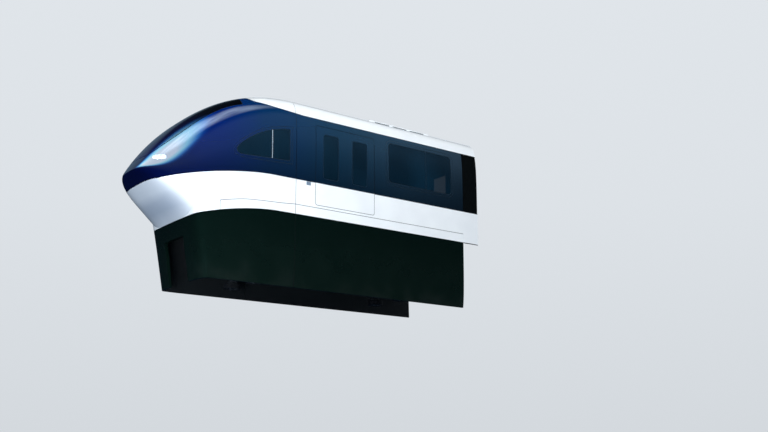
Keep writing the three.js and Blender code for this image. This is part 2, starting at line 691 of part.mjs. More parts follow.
function buildBogies() {
  for (const [place, x] of Object.entries(BOGIE_X)) {
    addNode(`${place}_bogie_frame`, bogieFrame(x), 'steel');
    addNode(`${place}_load_axle`, loadAxle(x), 'steel');
    for (const side of SIDES) {
      addNode(`${place}_load_tyre_${side.name}`, loadTyre(x, side.sign * LOAD_TYRE_Y), 'rubber');
      const y = side.sign * GUIDE_WHEEL_Y;
      addNode(`${place}_guide_wheel_fore_${side.name}`, guideWheel(x - GUIDE_WHEEL_X, y, GUIDE_WHEEL_Z), 'rubber');
      addNode(`${place}_guide_wheel_aft_${side.name}`, guideWheel(x + GUIDE_WHEEL_X, y, GUIDE_WHEEL_Z), 'rubber');
      addNode(`${place}_stabiliser_wheel_${side.name}`, guideWheel(x, y, STABILISER_Z), 'rubber');
    }
  }
}

buildNose();
buildSides();
buildRoof();
buildFloor();
buildGangway();
buildInterior();
buildRoofUnit();
buildBogies();

export default car;
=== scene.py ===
# %% [markdown]
# A monorail car, from a frame to a finished look
# This script keeps that frame and gives the car its finished surfaces, one piece at a time. The nose
# points to -X, +Z is up, and the left side, which the picture shows, is at -Y.

# %% Load the frame
import math

import bmesh
import bpy
import numpy as np
from mathutils import Matrix, Vector
from mathutils.geometry import interpolate_bezier


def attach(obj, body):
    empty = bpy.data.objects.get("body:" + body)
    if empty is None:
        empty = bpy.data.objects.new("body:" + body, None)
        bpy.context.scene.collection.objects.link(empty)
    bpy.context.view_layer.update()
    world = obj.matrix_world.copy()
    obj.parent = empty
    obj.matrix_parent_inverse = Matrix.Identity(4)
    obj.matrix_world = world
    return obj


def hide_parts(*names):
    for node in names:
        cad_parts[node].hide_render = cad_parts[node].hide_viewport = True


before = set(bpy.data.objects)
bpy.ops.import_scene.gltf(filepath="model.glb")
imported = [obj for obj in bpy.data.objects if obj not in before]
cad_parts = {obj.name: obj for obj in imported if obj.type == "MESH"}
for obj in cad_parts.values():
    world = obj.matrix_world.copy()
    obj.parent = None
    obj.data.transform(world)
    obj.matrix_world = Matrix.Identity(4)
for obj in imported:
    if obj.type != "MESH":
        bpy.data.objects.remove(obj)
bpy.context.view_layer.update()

# %% [markdown]
# ## Camera
# The picture was taken from well below the car, ahead of it and to its left. The camera stands where the
# long edges of the car say that it stood. It is tipped up, with a small upward shift of the lens, so that
# the upright edges of the doors stay nearly upright.

# %% Camera
IMAGE_WIDTH = 768
SENSOR_MM = 36.0
FOCAL_PIXELS = 968.4
CAMERA_PLACE = Vector((-13.222, -20.629, -4.867))
CAMERA_YAW = math.radians(36.76)
CAMERA_PITCH = math.radians(10.86)

camera_data = bpy.data.cameras.new("camera")
camera_data.sensor_width = SENSOR_MM
camera_data.lens = SENSOR_MM * FOCAL_PIXELS / IMAGE_WIDTH
camera_data.shift_y = 0.07
camera = bpy.data.objects.new("camera", camera_data)
camera.location = CAMERA_PLACE
camera.rotation_euler = (math.pi / 2 + CAMERA_PITCH, 0, -CAMERA_YAW)
bpy.context.collection.objects.link(camera)
bpy.context.scene.camera = camera
print("lens", round(camera_data.lens, 2), "mm")

# %% [markdown]
# ## Helpers for nodes and colours
# A material is a small tree of nodes. One function adds a node, changes its settings and feeds its inputs,
# so that a material reads as a list of steps. Colours are given as on a screen and turned to linear.


# %% Node and colour helpers
def linear(hex_colour):
    """A screen colour such as "#f2f4f5" as a linear RGBA."""
    channels = []
    for start in (1, 3, 5):
        value = int(hex_colour[start:start + 2], 16) / 255
        channels.append(value / 12.92 if value <= 0.04045 else ((value + 0.055) / 1.055) ** 2.4)
    return (*channels, 1.0)


def feed(node, name, value):
    """Join an input to a socket, or to the first open output of a node; any other value is set."""
    if isinstance(value, bpy.types.Node):
        value = next(output for output in value.outputs if output.enabled)
    if isinstance(value, bpy.types.NodeSocket):
        node.id_data.links.new(value, node.inputs[name])
    else:
        node.inputs[name].default_value = value


def add(tree, kind, inputs=None, stops=(), **settings):
    """Add a shader node with its settings and inputs; a colour ramp also has stops of (place, colour)."""
    made = tree.nodes.new("ShaderNode" + kind)
    for name, value in settings.items():
        setattr(made, name, value)
    for name, value in (inputs or {}).items():
        feed(made, name, value)
    if stops:
        band = made.color_ramp.elements
        while len(band) < len(stops):
            band.new(1.0)
        for element, (place, colour) in zip(band, stops):
            element.position = place
            element.color = linear(colour)
    return made


def new_material(name, **values):
    """A material, its tree, its shader with its plain values set, and the place on the car."""
    material = bpy.data.materials.new(name)
    material.use_nodes = True
    tree = material.node_tree
    shader = tree.nodes["Principled BSDF"]
    for socket, value in values.items():
        feed(shader, socket.replace("_", " "), value)
    return material, tree, shader, add(tree, "TexCoord").outputs["Object"]


def clouded(name, stops, scale, detail, **values):
    """A material whose colour wanders between its stops over a cloud of noise."""
    material, tree, shader, place = new_material(name, **values)
    cloud = add(tree, "TexNoise", {"Vector": place, "Scale": scale, "Detail": detail})
    feed(shader, "Base Color", add(tree, "ValToRGB", {"Fac": cloud}, stops=stops))
    return material, tree, shader, place, cloud


def relief(tree, shader, place, scale, detail, strength, depth):
    """A fine unevenness of the surface, from a noise of the given scale."""
    grain = add(tree, "TexNoise", {"Vector": place, "Scale": scale, "Detail": detail})
    feed(shader, "Normal", add(tree, "Bump", {"Height": grain, "Strength": strength, "Distance": depth}))


def mottled(name, dark, light, size_mm, rough, bump_mm=0.0, **values):
    """A finish whose colour and roughness wander between two values over patches of a given size."""
    stops = [(0.32, dark), (0.68, light)]
    material, tree, shader, place, cloud = clouded(name, stops, 1000 / size_mm, 4.0, **values)
    feed(shader, "Roughness", add(tree, "MapRange", {
        "Value": cloud, "From Min": 0.3, "From Max": 0.7, "To Min": rough[0], "To Max": rough[1]}))
    if bump_mm:
        feed(shader, "Normal", add(tree, "Bump", {
            "Height": cloud, "Strength": 0.5, "Distance": bump_mm / 1000}))
    return material


# %% [markdown]
# ## Gloss white paint
# The lower body, the roof and the door's foot are sheet and moulded panels in gloss white two-pack paint.
# Sprayed paint is never quite flat: it has a faint orange peel, drawn here at 12 mm because the real 4 mm
# would not show. Its gloss wanders a little, and under the chin a blue painted shade and painted reflection
# lie over the white.

# %% White paint
PEEL = (1 / 0.012, 1.0, 0.006, 0.001)

# Sprayed two-pack paint: a bright even white with a sharp clear gloss over it
white_paint, tree, shader, place = new_material("white_two_pack_paint", Coat_Weight=0.6, Coat_Roughness=0.04)
cloud = add(tree, "TexNoise", {"Vector": place, "Scale": 1.3, "Detail": 5.0})
white = add(tree, "ValToRGB", {"Fac": cloud}, stops=[(0.3, "#eef0f1"), (0.7, "#f6f8f8")])
# Under the chin a painted shade and painted reflection in the band's blue lie over the white, most where it
# faces down and low down
split = add(tree, "SeparateXYZ", {"Vector": place})
facing = add(tree, "SeparateXYZ", {"Vector": add(tree, "NewGeometry").outputs["Normal"]})
under = add(tree, "MapRange", {
    "Value": facing.outputs["Z"], "From Min": -0.4, "From Max": -0.9, "To Max": 0.9})
forward = add(tree, "MapRange", {"Value": split.outputs["X"], "From Min": -3.8, "From Max": -4.5})
low_down = add(tree, "MapRange", {
    "Value": split.outputs["Z"], "From Min": 1.0, "From Max": 0.7, "To Min": 0.4})
chin = add(tree, "Math", {0: under, 1: low_down}, operation="MULTIPLY")
painted_chin_shade = add(tree, "Math", {0: chin, 1: forward}, operation="MULTIPLY")
feed(shader, "Base Color", add(tree, "Mix", {0: painted_chin_shade, 6: white, 7: linear("#0f4f7e")}, data_type="RGBA"))
feed(shader, "Roughness", add(tree, "MapRange", {
    "Value": cloud, "From Min": 0.3, "From Max": 0.7, "To Min": 0.16, "To Max": 0.26}))
relief(tree, shader, place, *PEEL)

# %% [markdown]
# ## Blue-black lacquer
# The whole upper band is one dark mirror: tinted glass and lacquered panels that were chosen to match.
# The band's own colour is a dark blue, and a painted reflection of blue sky is ramped into it: strongest on
# the round nose and dying away to near black towards the gangway, so the colour is a slow ramp along the
# car.

# %% Blue-black lacquer
# Lacquer under clear coat: deep blue body colour with a painted sky reflection ramped along it; the rest of
# its brightness is in real reflections
band_lacquer, tree, shader, place = new_material(
    "blue_black_pearl_lacquer", Roughness=0.3, Specular_IOR_Level=0.0, Coat_Weight=1.0, Coat_Roughness=0.04,
    Coat_IOR=1.75)
split = add(tree, "SeparateXYZ", {"Vector": place})
cloud = add(tree, "TexNoise", {"Vector": place, "Scale": 0.8, "Detail": 2.0})
drift = add(tree, "Math", {0: cloud, 1: 0.6}, operation="MULTIPLY")
along = add(tree, "Math", {0: split.outputs["X"], 1: drift}, operation="ADD")
share = add(tree, "MapRange", {"Value": along, "From Min": -5.0, "From Max": 4.2})
painted_sky_reflection = add(tree, "ValToRGB", {"Fac": share}, stops=[
    (0.0, "#040b5c"), (0.16, "#011c6a"), (0.34, "#012850"), (0.55, "#082e46"), (0.8, "#1c3547"),
    (1.0, "#182a38")])
# Painted shade: the colour darkens lower down the band, towards the belt
height = add(tree, "MapRange", {
    "Value": split.outputs["Z"], "From Min": 1.6, "From Max": 3.3, "To Min": 0.75, "To Max": 0.0})
feed(shader, "Base Color", add(tree, "Mix", {0: height, 6: painted_sky_reflection, 7: linear("#02060f")}, data_type="RGBA"))
relief(tree, shader, place, *PEEL)

# %% [markdown]
# ## The body's form
# In the factory the nose is lofted over frames. Each frame here is a superellipse: nearly a rounded
# rectangle at the cab joint, nearly an ellipse at the tip and rounder still low down at the chin. A flat
# grid is rolled round these frames, its long side along the car and its short side round the section, and
# the seam and the tip are merged.

# %% Sizes of the body
CAB_JOINT_X = -1.4
GANGWAY_X = 4.5
BODY_END_X = 3.96
NOSE_TIP_X = -5.13
FLOOR_Z = 1.15
NOSE_TIP_Z = FLOOR_Z + 0.37
ROOF_Z = FLOOR_Z + 2.68
WIDEST_Z = FLOOR_Z - 0.2
KEEL_Z = -1.75
SKIRT_BOTTOM_Z = -0.95
HALF_WIDTH = 1.25
WALL = 0.07
GLASS = 0.024
CHIN_DEPTH = 2.47
APRON_TOP = 0.7
APRON_FOOT = 0.6
CHIN_ROUNDING = 2.8
CHIN_ROUND_FROM, CHIN_ROUND_TO = 0.5, 0.85
TIP_INSET = 1.8
RING_POINTS = 192
NOSE_STEPS = 64
MERGE = 0.00001
tools = []


def fade(t, rise, roundness):
    return np.power(np.clip(1 - np.power(np.clip(t, 0, 1), rise), 0, 1), 1 / roundness)


def chin_height(t):
    return NOSE_TIP_Z - CHIN_DEPTH * fade(t, 1.2, 1.23)


def frame_sizes(x, inset):
    """Half width, top, middle, bottom and the two powers of the frame at each x."""
    t = np.clip((CAB_JOINT_X - x) / (CAB_JOINT_X - (NOSE_TIP_X + TIP_INSET * inset)), 0, 1)
    half = (HALF_WIDTH - inset) * fade(t, 6.0, 2.59)
    top = NOSE_TIP_Z + (ROOF_Z - inset - NOSE_TIP_Z) * fade(t, 2.3, 1.14)
    keel = KEEL_Z - (0.3 if inset > 0 else 0.0)
    middle = WIDEST_Z + (NOSE_TIP_Z - WIDEST_Z) * t * t
    apron_top = chin_height(APRON_TOP) + inset
    drop = np.clip((APRON_TOP - t) / (APRON_TOP - APRON_FOOT), 0, 1)
    bottom = np.where(t >= APRON_TOP, np.minimum(chin_height(t) + inset, middle),
                      apron_top + (keel - apron_top) * drop)
    # Low down the frames are boxy beside the saloon and grow rounder towards the chin
    share = np.clip((t - CHIN_ROUND_FROM) / (CHIN_ROUND_TO - CHIN_ROUND_FROM), 0, 1)
    lower = 5.0 + t - CHIN_ROUNDING * share * share * (3 - 2 * share)
    return half, top, middle, bottom, 6.96 - 5.02 * t, lower


def as_object(bm, name, materials=()):
    mesh = bpy.data.meshes.new(name)
    bm.to_mesh(mesh)
    bm.free()
    made = bpy.data.objects.new(name, mesh)
    bpy.context.collection.objects.link(made)
    for material in materials:
        mesh.materials.append(material)
    return made


def as_tool(bm, name):
    """An object that only serves to shape others, and is deleted at the end."""
    made = as_object(bm, name)
    tools.append(made)
    return made


def rolled(name, columns, station):
    """A closed tool: a grid rolled round the frames. Station gives x and the frame for each share of it."""
    bm = bmesh.new()
    bmesh.ops.create_grid(bm, x_segments=columns, y_segments=RING_POINTS, size=1)
    for v in bm.verts:
        x, (half, top, middle, bottom, upper, lower) = station((v.co.x + 1) / 2)
        angle = math.pi * (v.co.y + 1)
        c, s = math.cos(angle), math.sin(angle)
        power = 2 / (upper if s >= 0 else lower)
        reach = top - middle if s >= 0 else middle - bottom
        y, z = math.copysign(abs(c) ** power, c), math.copysign(abs(s) ** power, s)
        v.co = (x, half * y, middle + reach * z)
    bmesh.ops.remove_doubles(bm, verts=bm.verts, dist=MERGE)
    bmesh.ops.holes_fill(bm, edges=[e for e in bm.edges if e.is_boundary], sides=0)
    bmesh.ops.recalc_face_normals(bm, faces=bm.faces)
    return as_tool(bm, name)


def body_form(name, inset, end_x=GANGWAY_X):
    """The closed form of the body, drawn in by inset on all sides."""
    tip_x = NOSE_TIP_X + TIP_INSET * inset
    shares = [math.sin(0.5 * math.pi * k / NOSE_STEPS) for k in range(NOSE_STEPS + 1)]
    nose = [CAB_JOINT_X - t * (CAB_JOINT_X - tip_x) for t in sorted(shares + [APRON_TOP, APRON_FOOT])]
    stations = [end_x, 1.0, CAB_JOINT_X + 0.15] + nose
    last = len(stations) - 1

    def station(share):
        x = stations[round(share * last)]
        return x, frame_sizes(x, inset)

    return rolled(name, last, station)


BEYOND = GANGWAY_X + 0.1
outer_form = body_form("outer_form", 0.0)
inner_form = body_form("inner_form", WALL, BEYOND)
glass_form = body_form("glass_form", GLASS, BEYOND)
groove_form = body_form("groove_form", 0.02)
print("faces of the form", len(outer_form.data.polygons))

# %% [markdown]
# ## Cutting tools
# The panels are parted as the real moulds are: one smooth form, cut along lines that are drawn on a side
# view. A line becomes a tool by drawing its outline and pulling it across the car. Because both neighbours
# are cut from the same form, their surfaces always meet. The joints are 12 mm wide, as sealed joints are.

# %% Cutting tools
JOINT = 0.012
HALF_JOINT = JOINT / 2
FAR = 9.0
WHOLE = (-FAR, FAR)


def prism(corners, way):
    """A flat outline pulled along a way."""
    bm = bmesh.new()
    bm.faces.new([bm.verts.new(corner) for corner in corners])
    pulled_out = bmesh.ops.extrude_face_region(bm, geom=list(bm.faces))["geom"]
    bmesh.ops.translate(bm, vec=way, verts=[g for g in pulled_out if isinstance(g, bmesh.types.BMVert)])
    bmesh.ops.recalc_face_normals(bm, faces=bm.faces)
    return bm


def drawn_tool(name, outline, low=-FAR, high=FAR):
    """An outline on the side view (x, z), pulled across the car from low to high."""
    return as_tool(prism([(x, low, z) for x, z in outline], (0, high - low, 0)), name)


def upright_tool(name, outline, low, high=FAR):
    """An outline on the top view (x, y), pulled upwards from low to high."""
    return as_tool(prism([(x, y, low) for x, y in outline], (0, 0, high - low)), name)


def block_tool(name, x=WHOLE, y=WHOLE, z=WHOLE):
    return drawn_tool(name, [(x[0], z[0]), (x[1], z[0]), (x[1], z[1]), (x[0], z[1])], *y)


def rounded(x0, x1, z0, z1, radius, steps=8):
    """A rectangle with round corners, as a list of points."""
    points = []
    corners = ((x1 - radius, z0 + radius, -90), (x1 - radius, z1 - radius, 0),
               (x0 + radius, z1 - radius, 90), (x0 + radius, z0 + radius, 180))
    for cx, cz, start in corners:
        for k in range(steps + 1):
            turn = math.radians(start + 90 * k / steps)
            points.append((cx + radius * math.cos(turn), cz + radius * math.sin(turn)))
    return points


def smooth_line(points, steps=8):
    """A smooth line through the given points."""
    ends = [points[0]] + list(points) + [points[-1]]
    line = []
    for a, b, c, d in zip(ends, ends[1:], ends[2:], ends[3:]):
        lead = (Vector(c) - Vector(a)) / 6
        trail = (Vector(d) - Vector(b)) / 6
        part = interpolate_bezier(Vector(b), Vector(b) + lead, Vector(c) - trail, Vector(c), steps + 1)
        line += [tuple(p) for p in part[:-1]]
    return line + [tuple(points[-1])]


def worked_out(thing):
    """The mesh of an object with its modifiers worked out, which are then taken off."""
    mesh = bpy.data.meshes.new_from_object(thing.evaluated_get(bpy.context.evaluated_depsgraph_get()))
    thing.modifiers.clear()
    return mesh


def carve(name, source, keep=(), remove=()):
    """A new piece: what of the source lies inside every keep tool and outside every remove tool."""
    made = bpy.data.objects.new(name, source.data)
    bpy.context.collection.objects.link(made)
    for tool, operation in [(t, "INTERSECT") for t in keep] + [(t, "DIFFERENCE") for t in remove]:
        cut = made.modifiers.new(tool.name, "BOOLEAN")
        cut.operation = operation
        cut.object = tool
        cut.solver = "EXACT"
    made.data = worked_out(made)
    made.data.name = name
    return made


def stock(name, *cuts, **more_cuts):
    """A carved shape from which others are carved, deleted at the end like a tool."""
    made = carve(name, *cuts, **more_cuts)
    tools.append(made)
    return made


# %% [markdown]
# ## True normals for a mirror finish
# A gloss panel shows every flaw of its mesh in its reflections. Cutting leaves long thin faces, and normals
# averaged from those would ripple. So each corner that lies on the form gets the normal of the form itself,
# worked out from the same formula, and the cut edges keep their flat sides. The same test tells the outside
# from the lining and from the sealed edges, so the three get their own materials.

# %% Normals and materials of a skin
def form_field(points, inset):
    """How far outside the form each point lies, in the units of the frame's own curve."""
    half, top, middle, bottom, upper, lower = frame_sizes(points[:, 0], inset)
    above = points[:, 2] >= middle
    power = np.where(above, upper, lower)
    reach = np.where(above, top - middle, middle - bottom)
    across = np.abs(points[:, 1]) / np.maximum(half, 1e-6)
    height = np.abs(points[:, 2] - middle) / np.maximum(reach, 1e-6)
    return np.power(across, power) + np.power(height, power) - 1


def form_normals(points, inset):
    """The form's normals, and about how far each point is from its surface."""
    step = 0.0005
    field = form_field(points, inset)
    slope = np.zeros_like(points)
    slope[:, 0] = (form_field(points + (step, 0, 0), inset) - field) / step
    for axis in (1, 2):
        shift = np.zeros(3)
        shift[axis] = step
        slope[:, axis] = (form_field(points + shift, inset) - form_field(points - shift, inset)) / (2 * step)
    length = np.maximum(np.linalg.norm(slope, axis=1), 1e-9)
    return slope / length[:, None], np.abs(field) / length


def dress_skin(piece, paint, inside, inset=WALL):
    """Give the outside, the lining and the cut edges their material and their normals."""
    mesh = piece.data
    mesh.materials.clear()
    for material in (paint, inside, paint):
        mesh.materials.append(material)
    count = len(mesh.vertices)
    points = np.empty(count * 3)
    mesh.vertices.foreach_get("co", points)
    points = points.reshape(-1, 3)
    corner_vertex = np.empty(len(mesh.loops), dtype=int)
    mesh.loops.foreach_get("vertex_index", corner_vertex)
    totals = np.empty(len(mesh.polygons), dtype=int)
    mesh.polygons.foreach_get("loop_total", totals)
    flat = np.empty(len(mesh.polygons) * 3)
    mesh.polygons.foreach_get("normal", flat)
    owner = np.repeat(np.arange(len(totals)), totals)
    corners = np.repeat(flat.reshape(-1, 3), totals, axis=0)
    kind = np.full(len(totals), 2)
    for index, (depth, sign, slack) in enumerate(((0.0, 1, 0.002), (inset, -1, 0.004))):
        normals, away = form_normals(points, depth)
        worst = np.zeros(len(totals))
        np.maximum.at(worst, owner, away[corner_vertex])
        turned = sign * normals[corner_vertex]
        agree = np.einsum("ij,ij->i", turned, corners)
        least = np.ones(len(totals))
        np.minimum.at(least, owner, agree)
        skin = (worst < slack) & (least > 0.3)
        kind[skin] = index
        smooth = skin[owner] & (agree > 0.9)
        corners[smooth] = turned[smooth]
    mesh.polygons.foreach_set("material_index", kind.astype(np.int32))
    mesh.polygons.foreach_set("use_smooth", np.ones(len(totals), dtype=bool))
    mesh.normals_split_custom_set([tuple(n) for n in corners])
    mesh.update()
    return piece


# %% [markdown]
# ## Finishes of the shell
# Below the white runs a gloss skirt that is almost black, with a green cast. The windows are dark tinted
# laminated glass. The joints between the panels are closed by black weather seals, and the inside of the
# shell is lined with pale melamine panels. Each is made from what its maker would call it.

# %% Skirt enamel, tinted glass, seal rubber and lining
# Stoved enamel, green-black: a deep gloss with a film of brake dust towards the bottom
skirt_enamel, tree, shader, place = new_material(
    "green_black_stoved_enamel", Specular_IOR_Level=0.1, Coat_Weight=1.0, Coat_Roughness=0.05, Coat_IOR=1.3)
split = add(tree, "SeparateXYZ", {"Vector": place})
cloud = add(tree, "TexNoise", {"Vector": place, "Scale": 1.6, "Detail": 6.0})
low = add(tree, "MapRange", {
    "Value": split.outputs["Z"], "From Min": 0.9, "From Max": -0.95, "To Min": 0.0, "To Max": 0.55})
dust = add(tree, "Math", {0: cloud, 1: low}, operation="MULTIPLY")
feed(shader, "Base Color", add(tree, "ValToRGB", {"Fac": dust}, stops=[
    (0.0, "#04100d"), (0.25, "#081612"), (0.5, "#1a221f")]))
feed(shader, "Roughness", add(tree, "MapRange", {
    "Value": dust, "From Min": 0.0, "From Max": 0.4, "To Min": 0.14, "To Max": 0.5}))

# Laminated glass with a blue-black tint: mirror-like outside, and the saloon shows faintly through it
tinted_glass, tree, shader, place, cloud = clouded(
    "tinted_laminated_glass", [(0.35, "#051a28"), (0.65, "#0a2536")], 0.7, 1.0,
    Roughness=0.03, Alpha=0.86, Specular_IOR_Level=0.45)
# Roller waves of toughened glass, about 300 mm apart
relief(tree, shader, place, 3.3, 0.0, 0.02, 0.01)

# Curved windscreen glass, darker than the side windows; the violet cast low down on the nose is a painted
# blue reflection
screen_glass, tree, shader, place = new_material(
    "curved_screen_glass", Roughness=0.02, Alpha=0.9, Specular_IOR_Level=0.35)
split = add(tree, "SeparateXYZ", {"Vector": place})
share = add(tree, "MapRange", {"Value": split.outputs["X"], "From Min": -5.0, "From Max": -2.8})
feed(shader, "Base Color", add(tree, "ValToRGB", {"Fac": share}, stops=[
    (0.0, "#101046"), (0.25, "#0a0c2e"), (0.6, "#05070f"), (1.0, "#030407")]))
relief(tree, shader, place, 2.0, 0.0, 0.015, 0.01)

# Extruded EPDM rubber: matt black with a slight bloom
seal_rubber = clouded("extruded_epdm_seal", [(0.3, "#060707"), (0.7, "#0e1010")], 40.0, 3.0,
                      Roughness=0.75, Specular_IOR_Level=0.2)[0]

# Anodised aluminium glazing bead, grey: drawn metal with fine lines along it
window_trim, tree, shader, place, grain = clouded(
    "anodised_glazing_bead", [(0.3, "#35444f"), (0.7, "#4a5965")], 90.0, 4.0, Metallic=0.8)
feed(shader, "Roughness", add(tree, "MapRange", {"Value": grain, "To Min": 0.28, "To Max": 0.45}))

# Melamine-faced lining panels: pale grey, with a fine moulded grain of about 2 mm
lining, tree, shader, place, cloud = clouded(
    "melamine_lining", [(0.3, "#b4b9bd"), (0.7, "#c6cacd")], 2.0, 3.0, Roughness=0.5)
relief(tree, shader, place, 500.0, 1.0, 0.15, 0.0004)

# Polished aluminium divider of the cab's sliding window: a bright line
polished_bar = mottled("polished_aluminium_bar", "#c9d3da", "#eef3f6", 15, (0.2, 0.35), Metallic=0.6)
# Sound-deadening coat inside the skirts: dark and rough
deadening = mottled("sound_deadening_coat", "#141617", "#232627", 14, (0.85, 0.95), 0.6)
print("materials so far", len(bpy.data.materials))

# %% [markdown]
# ## Lines that part the panels
# Two lines run the whole length of the car. The upper one parts the dark band from the white and dips
# along the nose; the lower one parts the white from the skirt. Both are level beside the saloon and then
# fall by a power of the distance. The roof's edge climbs over the cab. Each is drawn once and used, a few
# millimetres up or down, for both of its neighbours.

# %% Joint lines
BELT_Z = FLOOR_Z + 0.56
SILL_Z = FLOOR_Z - 0.31
CANTRAIL_Z = FLOOR_Z + 2.23
SEAM_Z = FLOOR_Z - 0.07
BAND_FRONT = (-4.77, FLOOR_Z + 0.095)
APRON_TOP_X = CAB_JOINT_X - APRON_TOP * (CAB_JOINT_X - NOSE_TIP_X)


def falling_line(z, start_x, rate, power, front_x, steps=24):
    """Level from the rear, then falling towards the nose."""
    xs = [start_x + (front_x - start_x) * k / steps for k in range(1, steps + 1)]
    return [(FAR, z), (start_x, z)] + [(x, z - rate * (start_x - x) ** power) for x in xs]


band_line = falling_line(BELT_Z, -2.1, 0.102, 1.56, BAND_FRONT[0]) + [(-FAR, BAND_FRONT[1])]
skirt_line = falling_line(SILL_Z, -1.9, 0.099, 1.74, APRON_TOP_X) + [(-FAR, 0.3)]
roof_line = [(FAR, CANTRAIL_Z)] + smooth_line([
    (-1.2, CANTRAIL_Z), (-1.82, FLOOR_Z + 2.28), (-2.24, FLOOR_Z + 2.33), (-2.54, FLOOR_Z + 2.385),
    (-2.69, FLOOR_Z + 2.6), (-2.74, FLOOR_Z + 2.9)]) + [(-2.74, FAR)]
hatch_line = [(-1.3, SEAM_Z)] + smooth_line([
    (-1.4, SEAM_Z), (-1.8, FLOOR_Z - 0.1), (-2.3, FLOOR_Z - 0.125), (-2.72, FLOOR_Z - 0.155),
    (-3.03, FLOOR_Z - 0.205), (-3.35, FLOOR_Z - 0.27), (-3.4, FLOOR_Z - 0.29)])


def shifted(line, up, forward=0.0):
    return [(x - forward, z + up) for x, z in line]


def above(name, line):
    return drawn_tool(name, shifted(line, HALF_JOINT) + [(line[-1][0], FAR), (FAR, FAR)])


def below(name, line):
    return drawn_tool(name, shifted(line, -HALF_JOINT) + [(line[-1][0], -FAR), (FAR, -FAR)])


def strip(name, line, forward=0.0):
    """The thin prism that a joint's seal fills."""
    return drawn_tool(name, shifted(line, HALF_JOINT, -forward) + shifted(line, -HALF_JOINT, forward)[::-1])


above_band, below_band = above("above_band", band_line), below("below_band", band_line)
above_skirt, below_skirt = above("above_skirt", skirt_line), below("below_skirt", skirt_line)
above_roof = drawn_tool("above_roof", shifted(roof_line, HALF_JOINT, -HALF_JOINT) + [(FAR, FAR)])
below_roof = drawn_tool(
    "below_roof", shifted(roof_line, -HALF_JOINT, HALF_JOINT) + [(-FAR, FAR), (-FAR, -FAR), (FAR, -FAR)])
ahead_of_joint = block_tool("ahead_of_joint", x=(-FAR, CAB_JOINT_X - HALF_JOINT))
behind_joint = block_tool("behind_joint", x=(CAB_JOINT_X + HALF_JOINT, FAR))
left_side = block_tool("left_side", y=(-FAR, 0))
ahead_of_gangway = block_tool("ahead_of_gangway", x=(-FAR, BODY_END_X - 0.001))
under_skirt = block_tool("under_skirt", z=(-FAR, SKIRT_BOTTOM_Z))

shell_stock = stock("shell_stock", outer_form, remove=[inner_form, under_skirt])
glass_stock = stock("glass_stock", outer_form, remove=[glass_form])
nose_stock = stock("nose_stock", shell_stock, keep=[ahead_of_joint])
saloon_stock = stock("saloon_stock", shell_stock, keep=[behind_joint, left_side])
print("shell", len(shell_stock.data.polygons), "nose", len(nose_stock.data.polygons),
      "saloon", len(saloon_stock.data.polygons))

# %% [markdown]
# ## Openings of the nose
# The windscreen is one curved pane whose edge keeps a nearly constant share of the nose's width, so its
# outline is drawn on the top view. The cab's side window is a long lens with an upright rear edge. A
# headlamp sits at each lower corner of the windscreen.

# %% Openings of the nose
SCREEN_EDGE = [
    (-2.8, 0.84), (-3.1, 0.815), (-3.5, 0.8), (-3.9, 0.8), (-4.25, 0.8), (-4.5, 0.785), (-4.69, 0.755),
    (-4.82, 0.72), (-4.895, 0.655), (-4.945, 0.5), (-4.965, 0.3), (-4.975, 0.1)]
LAMP = (-4.87, -4.64, FLOOR_Z + 0.52, FLOOR_Z + 0.64)
LAMP_CORNER = 0.05
LAMP_INNER_Y = 0.38


def screen_outline(grow):
    rear, front = SCREEN_EDGE[0][0], SCREEN_EDGE[-1][0]
    middle, stretch = (rear + front) / 2, 1 + 2 * grow / (rear - front)
    line = smooth_line([(x, share * float(frame_sizes(x, 0.0)[0])) for x, share in SCREEN_EDGE], 6)
    edge = [(middle + (x - middle) * stretch, y + grow) for x, y in line]
    return edge + [(x, -y) for x, y in reversed(edge)]


def cab_window_outline(grow, steps=12):
    """The lens of the cab window: three quadratic curves and two straight lines."""
    rear, front, f = -1.58 + grow, -3.02 - grow, FLOOR_Z
    curves = [
        ((rear, f + 1.78 + grow), (-2.3, f + 1.7 + grow), (-2.84, f + 1.24 + grow)),
        ((-2.84, f + 1.24 + grow), (front, f + 1.08), (front, f + 1.01)),
        ((front, f + 1.01), (front, f + 0.9 - grow), (-2.8, f + 0.915 - grow))]
    points = [(rear, f + 0.98 - grow)]
    for a, b, c in curves:
        for k in range(steps + 1):
            t = k / steps
            point = [(1 - t) ** 2 * p + 2 * t * (1 - t) * q + t * t * r for p, q, r in zip(a, b, c)]
            points.append(tuple(point))
    return [p for p, q in zip(points, points[1:] + points[:1]) if (Vector(p) - Vector(q)).length > 1e-5]


def grown(box, amount):
    x0, x1, z0, z1 = box
    return x0 - amount, x1 + amount, z0 - amount, z1 + amount


def box_outline(box, corner):
    """The outline of a box with round corners, for any growth."""
    return lambda grow: rounded(*grown(box, grow), corner + grow)


def box_tool(name, box, corner, grow):
    return drawn_tool(name, box_outline(box, corner)(grow))


def lamp_tool(name, side, grow):
    outline = box_outline(LAMP, LAMP_CORNER)(grow)
    return drawn_tool(name, outline, *sorted((side * (LAMP_INNER_Y - grow), side * FAR)))


def hatch_tool(name, grow):
    rear_x, front_x = -1.3, hatch_line[-1][0]
    return drawn_tool(name, shifted(hatch_line, grow, grow) + [(front_x - grow, -FAR), (rear_x, -FAR)])


